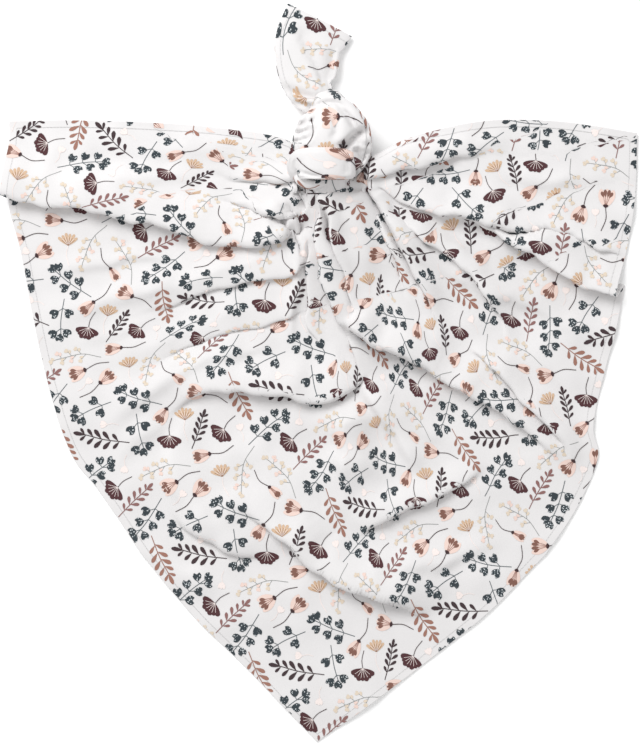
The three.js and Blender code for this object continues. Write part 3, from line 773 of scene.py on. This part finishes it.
MOTIFS = {
    "dark sprig": paddle_sprig("aubergine", 57, 5, 14, 50, 7),
    "dark sprig, small": paddle_sprig("aubergine", 42, 5, 10.5, 42, -4),
    "rust sprig": paddle_sprig("terracotta", 53, 5, 13.5, 48, -6),
    "rose sprig": paddle_sprig("rose", 50, 5, 11, 46, 3),
    "slate sprig": round_sprig(56, 3, 10.3, 5),
    "slate sprig, small": round_sprig(45, 2, 10.3, -4),
    "open bud": bud(46, 20, 14, 4, 1.1),
    "bud": bud(46, 20, 12, -5, 0.8),
    "small bud": bud(40, 17, 9.5, 5, 0.5),
    "maroon fan": fan_leaf("maroon", 19, 13.5, 7, 128, "calyx", 2, 1.3),
    "tan head": ray_head(22, 13, 6, 100, -3),
    "berry spray": berry_spray(54, 7, 6),
    "faint bloom": faint_bloom(8),
}

# The print is tossed over one repeat, which holds each motif so many times. Every other column of
# repeats drops by half. The motifs start anywhere and push each other apart in small moves and
# turns until they keep the gap.

REPEAT_WIDE = 176.0
REPEAT_HIGH = 162.0
SCATTER = (
    ("slate sprig", 3), ("slate sprig, small", 2), ("dark sprig", 1), ("dark sprig, small", 1),
    ("rust sprig", 1), ("rose sprig", 1), ("open bud", 3), ("bud", 2), ("small bud", 1),
    ("maroon fan", 3), ("tan head", 2), ("berry spray", 3), ("faint bloom", 4),
)
SCATTER_SEED = 4
SCATTER_STEPS = 700
SCATTER_GAP = 3.2
SCATTER_MOVE = 0.12
SCATTER_TURN = 0.3
OUTLINE_BANDS = 5
LEAST_ROUND = 0.3


def spots_of(strokes):
    """Every point of a motif."""
    return np.concatenate([grid.reshape(-1, 2) for ink, grid in strokes])


def middle_of(strokes):
    """The middle of a motif."""
    spots = spots_of(strokes)
    return (spots.min(axis=0) + spots.max(axis=0)) / 2


def outline_rounds(strokes):
    """The room a motif takes, as a row of circles up its length: middle x, middle y and radius."""
    spots = spots_of(strokes) - middle_of(strokes)
    ends = np.linspace(spots[:, 1].min(), spots[:, 1].max() + 1e-6, OUTLINE_BANDS + 1)
    rounds = []
    for low, high in zip(ends[:-1], ends[1:]):
        band = spots[(spots[:, 1] >= low) & (spots[:, 1] <= high), 0]
        if len(band) == 0:
            band = np.zeros(1)
        radius = max(np.ptp(band) / 2, LEAST_ROUND * (high - low))
        rounds.append(((band.min() + band.max()) / 2, (low + high) / 2, radius))
    return rounds


def circle_pushes(spot, radius, owner):
    """How each circle is pushed by those of other motifs, or of their copies, that lie too close."""
    apart = spot[:, None] - spot[None]
    columns = np.rint(apart[..., 0] / REPEAT_WIDE)
    apart[..., 0] -= columns * REPEAT_WIDE
    apart[..., 1] -= columns * REPEAT_HIGH / 2
    apart[..., 1] -= np.rint(apart[..., 1] / REPEAT_HIGH) * REPEAT_HIGH
    distance = np.maximum(np.linalg.norm(apart, axis=-1), 1e-6)
    push = np.maximum(radius[:, None] + radius[None] + SCATTER_GAP - distance, 0)
    push[owner[:, None] == owner[None]] = 0
    return (apart / distance[..., None] * push[..., None]).sum(axis=1)


def tossed_motifs():
    """Where each motif of one repeat lies and how it is turned: they push each other apart."""
    names = [name for name, count in SCATTER for _ in range(count)]
    chance = np.random.default_rng(SCATTER_SEED)
    rounds = np.array([outline_rounds(MOTIFS[name]) for name in names])
    size = np.array([REPEAT_WIDE, REPEAT_HIGH])
    place = chance.uniform(0, 1, (len(names), 2)) * size
    turn = chance.uniform(0, 2 * math.pi, len(names))
    owner = np.repeat(np.arange(len(names)), OUTLINE_BANDS)
    radius = rounds[..., 2].ravel()
    reach = np.hypot(rounds[..., 0], rounds[..., 1]).max(axis=1)
    for _ in range(SCATTER_STEPS):
        sin, cos = np.sin(turn)[:, None], np.cos(turn)[:, None]
        arm = np.stack([rounds[..., 0] * cos + rounds[..., 1] * sin,
                        rounds[..., 1] * cos - rounds[..., 0] * sin], axis=-1).reshape(-1, 2)
        force = circle_pushes(place[owner] + arm, radius, owner)
        twist = cross2(force, arm)
        place = place + SCATTER_MOVE * np.array([np.bincount(owner, part) for part in force.T]).T
        turn = turn + SCATTER_TURN * np.bincount(owner, twist) / reach**2
    return list(zip(names, place, np.degrees(turn)))


def printed_strokes():
    """Every stroke of the print over the whole flat cloth, by the size of its grid."""
    across = np.arange(-1, CLOTH_SIDE // REPEAT_WIDE + 2)
    down = np.arange(-2, CLOTH_SIDE // REPEAT_HIGH + 2)
    found = {}
    for name, place, turn in tossed_motifs():
        motif = MOTIFS[name]
        middle = middle_of(motif)
        up, right = turned(turn), turned(turn + 90)
        for i in across:
            for j in down:
                spot = place + (i * REPEAT_WIDE, (j + i % 2 / 2) * REPEAT_HIGH)
                for k, (ink, grid) in enumerate(motif):
                    off = grid - middle
                    moved = spot + off[..., :1] * right + off[..., 1:] * up
                    rise = INK_LIFT + INK_LAYER * INKS[ink].layer + INK_STEP * k
                    found.setdefault(moved.shape[:2], []).append((ink, rise, moved))
    return found


# Meshes

def placed(points):
    """Points of the plan, in the part's frame and in metres."""
    return (points - np.array([*PART_CENTRE, 0])) * MM


def add_grid(bm, layers, points, flat, from_edge):
    """A grid laid through rows and columns of points, with its places on the flat cloth."""
    rows, columns = points.shape[:2]
    made = bmesh.ops.create_grid(bm, x_segments=columns - 1, y_segments=rows - 1, size=0.5)
    verts = made["verts"]
    places = np.array([v.co[:2] for v in verts])
    column = np.rint((0.5 - places[:, 0]) * (columns - 1)).astype(int)
    row = np.rint((places[:, 1] + 0.5) * (rows - 1)).astype(int)
    moved = placed(points)
    spread = {}
    for vert, r, c in zip(verts, row, column):
        vert.co = moved[r, c]
        vert[layers["From edge"]] = from_edge[r, c]
        spread[vert] = flat[r, c] / CLOTH_SIDE
    for face in {face for vert in verts for face in vert.link_faces}:
        face.smooth = True
        for loop in face.loops:
            loop[layers["Flat cloth"]].uv = spread[loop.vert]


def cloth_object(name, patches, material):
    """One piece of cloth made of several grids."""
    bm = bmesh.new()
    layers = {"Flat cloth": bm.loops.layers.uv.new("Flat cloth"),
              "From edge": bm.verts.layers.float.new("From edge")}
    for points, flat, from_edge in patches:
        add_grid(bm, layers, points, flat, from_edge)
    mesh = bpy.data.meshes.new(name)
    bm.to_mesh(mesh)
    bm.free()
    mesh.materials.append(material)
    piece = bpy.data.objects.new(name, mesh)
    bpy.context.collection.objects.link(piece)
    return piece


def grid_normals(points):
    """Unit normals of a grid's surface, upwards or outwards."""
    out = np.gradient(points, axis=0)
    along = np.gradient(points, axis=1)
    return unit(np.cross(out, along))


def edge_distance(fan):
    """How far each point of the fan lies from its nearest free edge."""
    down = np.linalg.norm(np.diff(fan, axis=0), axis=2)
    from_end = np.concatenate([np.cumsum(down[::-1], axis=0)[::-1], np.zeros((1, fan.shape[1]))])
    from_left = arcs(fan)
    return np.minimum(from_end, np.minimum(from_left, from_left[:, -1:] - from_left))


def rim(grid, inset=0):
    """A grid's values along its free edges, or along the lines just inside them."""
    low, high = inset, -1 - inset
    return np.concatenate([grid[:-1, low], grid[high, :-1], grid[::-1, high]])


def hem_patch(fan, flat):
    """The narrow hem, turned under all round the free edges of the fan."""
    edge, up = rim(fan), rim(grid_normals(fan))
    outward = edge - rim(fan, 1)
    outward = unit(outward - (outward * up).sum(axis=1, keepdims=True) * up)
    rows = [edge + HEM_BULGE * side * outward - HEM_DROP * down * up for side, down in HEM_TURN]
    rows += [edge - reach * outward - HEM_DROP * up for reach in (HEM_WIDE / 2, HEM_WIDE)]
    points = np.stack(rows, axis=0)
    points[..., 2] = np.maximum(points[..., 2], SHEET_LIFT)
    return points, np.broadcast_to(rim(flat), points.shape[:2] + (2,)), np.ones(points.shape[:2])


def rope_points(rows, first_angle, square=0.0, flutes=(0, 0, 0), creased=True):
    """A stretch of gathered cloth: rings along its path, each of the given half sizes."""
    line = curve(rows, ROPE_RINGS)
    centre, half = line[:, :3], line[:, 3:]
    along = unit(np.gradient(centre, axis=0))
    across = unit(np.stack([along[:, 1], -along[:, 0], np.zeros(len(along))], axis=1))
    up = np.cross(across, along)
    angle = np.radians(np.linspace(first_angle, first_angle + 360, ROPE_SIDES + 1))
    count, deep, wind = flutes
    # The flutes are narrow, and not evenly spaced.
    phase = angle[None] + 2 * math.pi * wind * np.linspace(0, 1, len(line))[:, None]
    crease = 1 - deep * np.abs(np.cos(count * phase / 2 + 0.7 * np.sin(2 * phase))) ** 6
    side, rise = (np.sign(part) * np.abs(part) ** (1 - square)
                  for part in (np.cos(angle), np.sin(angle)))
    ring = (half[:, None, :1] * (crease * side)[..., None] * across[:, None]
            + half[:, None, 1:] * (crease * rise)[..., None] * up[:, None])
    points = centre[:, None] + ring
    if creased:
        points[..., 2] -= crease_depth(points, centre[:, None, 2])
    points[..., 2] = np.maximum(points[..., 2], SHEET_LIFT)
    return points


def crease_depth(points, middle):
    """How deep the creases press into the upper side of a stretch."""
    x, y, z = (points[..., k] for k in range(3))
    deep = np.zeros(x.shape)
    for crease in CREASES:
        across, along, _, _ = beside(crease.path, x, y)
        fade = smooth_step(0, CREASE_FADE, along) * (1 - smooth_step(1 - CREASE_FADE, 1, along))
        deep += crease.deep * fade * bell(across, crease.left, crease.right)
    upper = smooth_step(-0.5, 0.5, (z - middle) / CREASE_FOOT)
    return np.minimum(deep * upper, np.maximum(z - middle, 0))


def arcs(points):
    """How far each point of a grid lies from its row's first one, along the surface."""
    steps = np.linalg.norm(np.diff(points, axis=1), axis=2)
    return np.concatenate([np.zeros((len(points), 1)), np.cumsum(steps, axis=1)], axis=1)


def rope_patch(stretch):
    """A stretch of the knot, with the part of the flat cloth that shows on it."""
    points = rope_points(stretch.rows, -90, stretch.square, stretch.flutes)
    reach = np.linspace(*stretch.reach, len(points))[:, None]
    arc = arcs(rope_points(stretch.rows, -90, stretch.square, creased=False))
    inward = 1 if stretch.reach[1] < stretch.reach[0] else -1
    angle = math.radians(stretch.angle) - inward * (arc - arc[:, -1:] / 2) / reach
    flat = np.stack([reach * np.cos(angle), reach * np.sin(angle)], axis=-1)
    return points, flat, np.full(points.shape[:2], 2 * HEM_WIDE)


def tail_patch():
    """The tail: the cloth's own corner, one hemmed side at its left and the other at its end."""
    points = rope_points(TAIL, -180)
    middle = points.mean(axis=1)
    steps = np.linalg.norm(np.diff(middle, axis=0), axis=1)
    from_end = np.concatenate([np.cumsum(steps[::-1])[::-1], [0]])
    arc = arcs(points)
    from_side = arc[:, -1:] - arc
    flat = np.stack([np.broadcast_to(from_end[:, None], arc.shape), from_side], axis=-1)
    return points, flat, flat.min(axis=-1)


# Laying the print on the cloth

def not_zero(values):
    """The values, with tiny ones made large enough to divide by."""
    return np.where(np.abs(values) < TINY, TINY, values)


class FlatLookup:
    """Finds where places on the flat cloth lie on one patch of the draped one."""

    def __init__(self, points, flat):
        rows, columns = points.shape[:2]
        corner = np.arange(rows * columns).reshape(rows, columns)
        a, b = corner[:-1, :-1].ravel(), corner[:-1, 1:].ravel()
        c, d = corner[1:, 1:].ravel(), corner[1:, :-1].ravel()
        self.triangles = np.concatenate([np.stack([a, b, c], axis=1), np.stack([a, c, d], axis=1)])
        self.points = points.reshape(-1, 3)
        self.normals = grid_normals(points).reshape(-1, 3)
        self.flat = flat.reshape(-1, 2)
        self.triangles = self.triangles[self.open_ones()]
        solid = np.concatenate([self.flat, np.zeros((len(self.flat), 1))], axis=1)
        self.tree = BVHTree.FromPolygons(solid.tolist(), self.triangles.tolist(), all_triangles=True)

    def open_ones(self):
        """Whether each triangle lies open. The others are turned under or squeezed in a tuck."""
        a, b, c = (self.triangles[:, k] for k in range(3))
        flat_b, flat_c = self.flat[b] - self.flat[a], self.flat[c] - self.flat[a]
        solid_b, solid_c = self.points[b] - self.points[a], self.points[c] - self.points[a]
        whole = cross2(flat_b, flat_c)
        turn = np.sign(np.median(whole))
        safe = not_zero(whole)[:, None]
        along_x = (solid_b * flat_c[:, 1:] - solid_c * flat_b[:, 1:]) / safe
        along_y = (solid_c * flat_b[:, :1] - solid_b * flat_c[:, :1]) / safe
        xx, yy = (along_x**2).sum(axis=1), (along_y**2).sum(axis=1)
        xy = (along_x * along_y).sum(axis=1)
        spread = np.sqrt((xx - yy) ** 2 / 4 + xy**2)
        least, most = (xx + yy) / 2 - spread, (xx + yy) / 2 + spread
        return (whole * turn > 1e-6) & (least > SQUEEZED**2) & (most < STRETCHED**2)

    def place(self, spots):
        """Points, normals and how far off the patch each place lies."""
        found = [self.tree.find_nearest((x, y, 0)) for x, y in spots.tolist()]
        near = np.array([hit[0][:2] for hit in found])
        corners = self.triangles[[hit[2] for hit in found]]
        off = np.array([hit[3] for hit in found])
        a, b, c = (self.flat[corners[:, k]] for k in range(3))
        whole = not_zero(cross2(b - a, c - a))
        share_b = np.clip(cross2(near - a, c - a) / whole, 0, 1)
        share_c = np.clip(cross2(b - a, near - a) / whole, 0, 1)
        shares = np.stack([1 - share_b - share_c, share_b, share_c], axis=1)[..., None]
        points = (self.points[corners] * shares).sum(axis=1)
        normals = unit((self.normals[corners] * shares).sum(axis=1))
        return points, normals, off


def laid_strokes(patches):
    """The strokes that land on the cloth, by the size of their grid."""
    laid = {}
    lookups = [FlatLookup(points, flat) for points, flat, from_edge in patches]
    for size, strokes in printed_strokes().items():
        names = np.array([ink for ink, rise, spot in strokes])
        rises = np.array([rise for ink, rise, spot in strokes])
        spots = np.array([spot for ink, rise, spot in strokes])
        for lookup in lookups:
            middle = spots.mean(axis=(1, 2))
            low, high = lookup.flat.min(axis=0) - NEAR_PATCH, lookup.flat.max(axis=0) + NEAR_PATCH
            near = np.flatnonzero(((middle > low) & (middle < high)).all(axis=1))
            if not len(near):
                continue
            points, normals, off = lookup.place(spots[near].reshape(-1, 2))
            points = points.reshape(len(near), size[0] * size[1], 3)
            normals = normals.reshape(points.shape)
            on = (off.reshape(points.shape[:2]) < TOUCHING).any(axis=1)
            points = points + normals * rises[near][:, None, None]
            laid.setdefault(size, []).append(
                (names[near][on], points[on], normals[on], spots[near][on]))
    return laid


def repeated_grid(name, rows, columns, count):
    """A small grid repeated by an array, and where each of its corners comes in rows of columns."""
    bm = bmesh.new()
    bmesh.ops.create_grid(bm, x_segments=columns - 1, y_segments=rows - 1, size=0.5)
    places = np.array([v.co[:2] for v in bm.verts]) + 0.5
    order = (np.rint(places[:, 1] * (rows - 1)) * columns
             + np.rint(places[:, 0] * (columns - 1))).astype(int)
    single = bpy.data.meshes.new(name + "-one")
    bm.to_mesh(single)
    bm.free()
    piece = bpy.data.objects.new(name, single)
    bpy.context.collection.objects.link(piece)
    array = piece.modifiers.new("Array", "ARRAY")
    array.count = count
    bpy.context.view_layer.update()
    shown = piece.evaluated_get(bpy.context.evaluated_depsgraph_get())
    mesh = bpy.data.meshes.new_from_object(shown)
    piece.modifiers.clear()
    piece.data = mesh
    mesh.name = name
    bpy.data.meshes.remove(single)
    return piece, order


def stroke_object(name, size, parts, materials):
    """One piece of print: every stroke of one grid size, each laid in its place."""
    rows, columns = size
    inks = np.concatenate([part[0] for part in parts])
    points = np.concatenate([part[1] for part in parts])
    normals = np.concatenate([part[2] for part in parts])
    flat = np.concatenate([part[3].reshape(len(part[3]), rows * columns, 2) for part in parts])
    piece, order = repeated_grid(name, rows, columns, len(points))
    mesh = piece.data
    mesh.vertices.foreach_set("co", placed(points[:, order]).ravel())
    vertex_of = np.empty(len(mesh.loops), int)
    mesh.loops.foreach_get("vertex_index", vertex_of)
    layer = mesh.uv_layers.new(name="Flat cloth")
    layer.data.foreach_set("uv", (flat[:, order].reshape(-1, 2)[vertex_of] / CLOTH_SIDE).ravel())
    for material in materials.values():
        mesh.materials.append(material)
    number = {ink: k for k, ink in enumerate(materials)}
    used = np.repeat([number[ink] for ink in inks], (rows - 1) * (columns - 1))
    mesh.polygons.foreach_set("material_index", used)
    mesh.shade_smooth()
    mesh.update()
    mesh.normals_split_custom_set_from_vertices(normals[:, order].reshape(-1, 3).tolist())
    return piece


# Materials

def linear(colour):
    """The linear value of a colour given as sRGB numbers from 0 to 255."""
    part = np.array(colour) / 255
    return tuple(np.where(part <= 0.04045, part / 12.92, ((part + 0.055) / 1.055) ** 2.4)) + (1,)


def add_node(tree, kind, **values):
    """A node with some of its input sockets set."""
    node = tree.nodes.new(kind)
    for name, value in values.items():
        node.inputs[name.replace("_", " ")].default_value = value
    return node


def math_node(tree, operation, first, second=None):
    """A math node between two sockets or numbers."""
    node = tree.nodes.new("ShaderNodeMath")
    node.operation = operation
    for socket, value in zip(node.inputs, (first, second)):
        if isinstance(value, (int, float)):
            socket.default_value = value
        elif value is not None:
            tree.links.new(value, socket)
    return node.outputs[0]


def flat_place(tree):
    """Where the surface lies on the flat cloth, as a texture coordinate."""
    node = tree.nodes.new("ShaderNodeUVMap")
    node.uv_map = "Flat cloth"
    return node.outputs["UV"]


def texture(tree, kind, size, **values):
    """A texture on the flat cloth whose pattern repeats over about that many millimetres."""
    node = add_node(tree, kind, Scale=CLOTH_SIDE / size, **values)
    tree.links.new(flat_place(tree), node.inputs["Vector"])
    return node


def brushed_cotton():
    """A node group for brushed cotton: its mottle, its sheen's unevenness, its nap and weave."""
    tree = bpy.data.node_groups.new("Brushed cotton", "ShaderNodeTree")
    for name, kind in (("Shade", "NodeSocketFloat"), ("Roughness", "NodeSocketFloat"),
                       ("Normal", "NodeSocketVector")):
        tree.interface.new_socket(name, in_out="OUTPUT", socket_type=kind)
    out = tree.nodes.new("NodeGroupOutput")
    nap = texture(tree, "ShaderNodeTexNoise", NAP, Detail=4.0).outputs["Fac"]
    mottle = texture(tree, "ShaderNodeTexNoise", MOTTLE, Detail=3.0).outputs["Fac"]
    weave = []
    for direction in ("X", "Y"):
        wave = texture(tree, "ShaderNodeTexWave", THREAD * WAVE_BANDS, Distortion=0.6)
        wave.bands_direction = direction
        weave.append(wave.outputs["Fac"])
    threads = math_node(tree, "MULTIPLY", weave[0], weave[1])
    height = math_node(tree, "MULTIPLY_ADD", threads, THREAD_SHARE)
    tree.links.new(nap, height.node.inputs[2])
    bump = add_node(tree, "ShaderNodeBump", Strength=NAP_BUMP, Distance=NAP_HIGH * MM)
    tree.links.new(height, bump.inputs["Height"])
    both = math_node(tree, "ADD", math_node(tree, "MULTIPLY", mottle, SHADE_SPREAD),
                     math_node(tree, "MULTIPLY", nap, SHADE_SPREAD))
    tree.links.new(math_node(tree, "ADD", both, SHADE_LOW), out.inputs["Shade"])
    rough = math_node(tree, "MULTIPLY", nap, ROUGH_SPREAD)
    tree.links.new(math_node(tree, "ADD", rough, ROUGH_LOW), out.inputs["Roughness"])
    tree.links.new(bump.outputs["Normal"], out.inputs["Normal"])
    return tree


def cloth_shader(material, cotton):
    """The cotton's group joined to the material's shader, and the group's node."""
    material.use_nodes = True
    tree = material.node_tree
    shader = tree.nodes["Principled BSDF"]
    shader.inputs["Sheen Weight"].default_value = SHEEN
    shader.inputs["Sheen Roughness"].default_value = SHEEN_ROUGH
    shader.inputs["Specular IOR Level"].default_value = SPECULAR
    group = tree.nodes.new("ShaderNodeGroup")
    group.node_tree = cotton
    tree.links.new(group.outputs["Roughness"], shader.inputs["Roughness"])
    tree.links.new(group.outputs["Normal"], shader.inputs["Normal"])
    return tree, shader, group


def mixed(tree, share, first, second, blend="MIX"):
    """A colour mix by a share, between two colours or sockets."""
    node = tree.nodes.new("ShaderNodeMix")
    node.data_type = "RGBA"
    node.blend_type = blend
    for socket, value in ((node.inputs[0], share), (node.inputs[6], first), (node.inputs[7], second)):
        if isinstance(value, bpy.types.NodeSocket):
            tree.links.new(value, socket)
        else:
            socket.default_value = value
    return node.outputs[2]


def shaded(tree, colour, group):
    """A colour, or a socket that gives one, made a little uneven by the cotton's shade."""
    shade = tree.nodes.new("ShaderNodeCombineColor")
    for socket in shade.inputs:
        tree.links.new(group.outputs["Shade"], socket)
    return mixed(tree, 1.0, colour, shade.outputs[0], "MULTIPLY")


def seam_line(tree, from_edge):
    """Where the line of stitches runs, and where its stitches are."""
    away = math_node(tree, "ABSOLUTE", math_node(tree, "SUBTRACT", from_edge, STITCH_IN))
    seam = math_node(tree, "LESS_THAN", away, STITCH_WIDE / 2)
    parts = tree.nodes.new("ShaderNodeSeparateXYZ")
    tree.links.new(flat_place(tree), parts.inputs[0])
    along = math_node(tree, "ADD", parts.outputs["X"], parts.outputs["Y"])
    turns = math_node(tree, "MULTIPLY", along, 2 * math.pi * CLOTH_SIDE / STITCH_LONG)
    dash = math_node(tree, "GREATER_THAN", math_node(tree, "SINE", turns), STITCH_GAP)
    return seam, math_node(tree, "MULTIPLY", seam, dash)


def flannel(cotton):
    """Off-white flannel with its hem's stitching, and a plain, greyer reverse."""
    material = bpy.data.materials.new("Printed flannel")
    tree, shader, group = cloth_shader(material, cotton)
    edge = tree.nodes.new("ShaderNodeAttribute")
    edge.attribute_name = "From edge"
    seam, stitch = seam_line(tree, edge.outputs["Fac"])
    ground = mixed(tree, stitch, linear(CLOTH_COLOUR), linear(STITCH_COLOUR))
    back = tree.nodes.new("ShaderNodeNewGeometry")
    sided = mixed(tree, back.outputs["Backfacing"], ground, linear(REVERSE_COLOUR))
    tree.links.new(shaded(tree, sided, group), shader.inputs["Base Color"])
    folded = math_node(tree, "LESS_THAN", edge.outputs["Fac"], STITCH_IN)
    dent = math_node(tree, "SUBTRACT", folded, seam)
    bump = add_node(tree, "ShaderNodeBump", Strength=HEM_BUMP, Distance=HEM_HIGH * MM)
    tree.links.new(dent, bump.inputs["Height"])
    tree.links.new(group.outputs["Normal"], bump.inputs["Normal"])
    tree.links.new(bump.outputs["Normal"], shader.inputs["Normal"])
    return material


def speckled(tree, colour):
    """Small pale dots scattered over a dark leaf."""
    dots = texture(tree, "ShaderNodeTexVoronoi", SPECKLE, Randomness=0.8)
    near = math_node(tree, "LESS_THAN", dots.outputs["Distance"], SPECKLE_RADIUS)
    return mixed(tree, near, colour, linear(SPECKLE_COLOUR))


def ink_material(name, cotton):
    """One ink of the print, on the same brushed cotton."""
    material = bpy.data.materials.new("Ink, " + name)
    tree, shader, group = cloth_shader(material, cotton)
    colour = linear(INKS[name].colour)
    if name == SPECKLED:
        colour = speckled(tree, colour)
    tree.links.new(shaded(tree, colour, group), shader.inputs["Base Color"])
    return material


# The stage, in metres and watts

FLOOR_REACH = 3.0
FLOOR_DROP = 0.0005
FLOOR_TONE = 0.97
FLOOR_ROUGH = 0.9
FLOOR_GLOW = 0.12
STUDIO_LIGHT = 0.65
KEY_PLACE = (-1.5, 2.3, 3.0)
KEY_WIDE = 2.2
KEY_POWER = 98
SENSOR = 36


def floor():
    """A plain pale floor that glows a little, as a white studio ground does."""
    bm = bmesh.new()
    bmesh.ops.create_grid(bm, x_segments=1, y_segments=1, size=FLOOR_REACH)
    mesh = bpy.data.meshes.new("Floor")
    bm.to_mesh(mesh)
    bm.free()
    material = bpy.data.materials.new("Pale floor")
    material.use_nodes = True
    shader = material.node_tree.nodes["Principled BSDF"]
    shader.inputs["Base Color"].default_value = (FLOOR_TONE, FLOOR_TONE, FLOOR_TONE, 1)
    shader.inputs["Roughness"].default_value = FLOOR_ROUGH
    shader.inputs["Emission Color"].default_value = (1, 1, 1, 1)
    shader.inputs["Emission Strength"].default_value = FLOOR_GLOW
    mesh.materials.append(material)
    piece = bpy.data.objects.new("Floor", mesh)
    piece.location.z = -FLOOR_DROP
    bpy.context.collection.objects.link(piece)


def light():
    """An even white surround, and one large soft light from the upper left."""
    world = bpy.data.worlds.new("Studio")
    world.use_nodes = True
    background = world.node_tree.nodes["Background"]
    background.inputs["Color"].default_value = (1, 1, 1, 1)
    background.inputs["Strength"].default_value = STUDIO_LIGHT
    bpy.context.scene.world = world
    bpy.context.scene.view_settings.view_transform = "Standard"
    data = bpy.data.lights.new("Key light", "AREA")
    data.shape = "DISK"
    data.size = KEY_WIDE
    data.energy = KEY_POWER
    lamp = bpy.data.objects.new("Key light", data)
    lamp.location = KEY_PLACE
    lamp.rotation_euler = (-Vector(KEY_PLACE)).to_track_quat("-Z", "Y").to_euler()
    bpy.context.collection.objects.link(lamp)


def camera():
    """Straight above the middle of the photograph, which it frames as the photograph does."""
    data = bpy.data.cameras.new("Camera")
    data.sensor_fit = "VERTICAL"
    data.sensor_height = SENSOR
    data.lens = SENSOR * CAMERA_HEIGHT / (PHOTO_HIGH * PIXEL * MM)
    eye = bpy.data.objects.new("Camera", data)
    eye.location = (-PART_CENTRE[0] * MM, -PART_CENTRE[1] * MM, CAMERA_HEIGHT)
    bpy.context.collection.objects.link(eye)
    bpy.context.scene.camera = eye


# The whole

PRINT_PIECES = {BROAD: "Print-broad-leaves", NARROW: "Print-leaves", SMALL: "Print-berries",
                LONG_LINE: "Print-stems", SHORT_LINE: "Print-veins"}


def build():
    """The cloth and its print, on the stage."""
    plan = fan_plan()
    fan = cloth_surface(plan[..., 0], plan[..., 1])
    flat = flat_places(plan, fan)
    printed = [(fan, flat, edge_distance(fan)), tail_patch()]
    printed += [rope_patch(stretch) for stretch in KNOT]
    cotton = brushed_cotton()
    cloth = cloth_object("Cloth", printed + [hem_patch(fan, flat)], flannel(cotton))
    inks = {name: ink_material(name, cotton) for name in INKS}
    prints = [stroke_object(PRINT_PIECES[size], size, parts, inks)
              for size, parts in laid_strokes(printed).items()]
    floor()
    light()
    camera()
    for piece in [cloth] + prints:
        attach(piece, "root")
    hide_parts("cloth")


build()
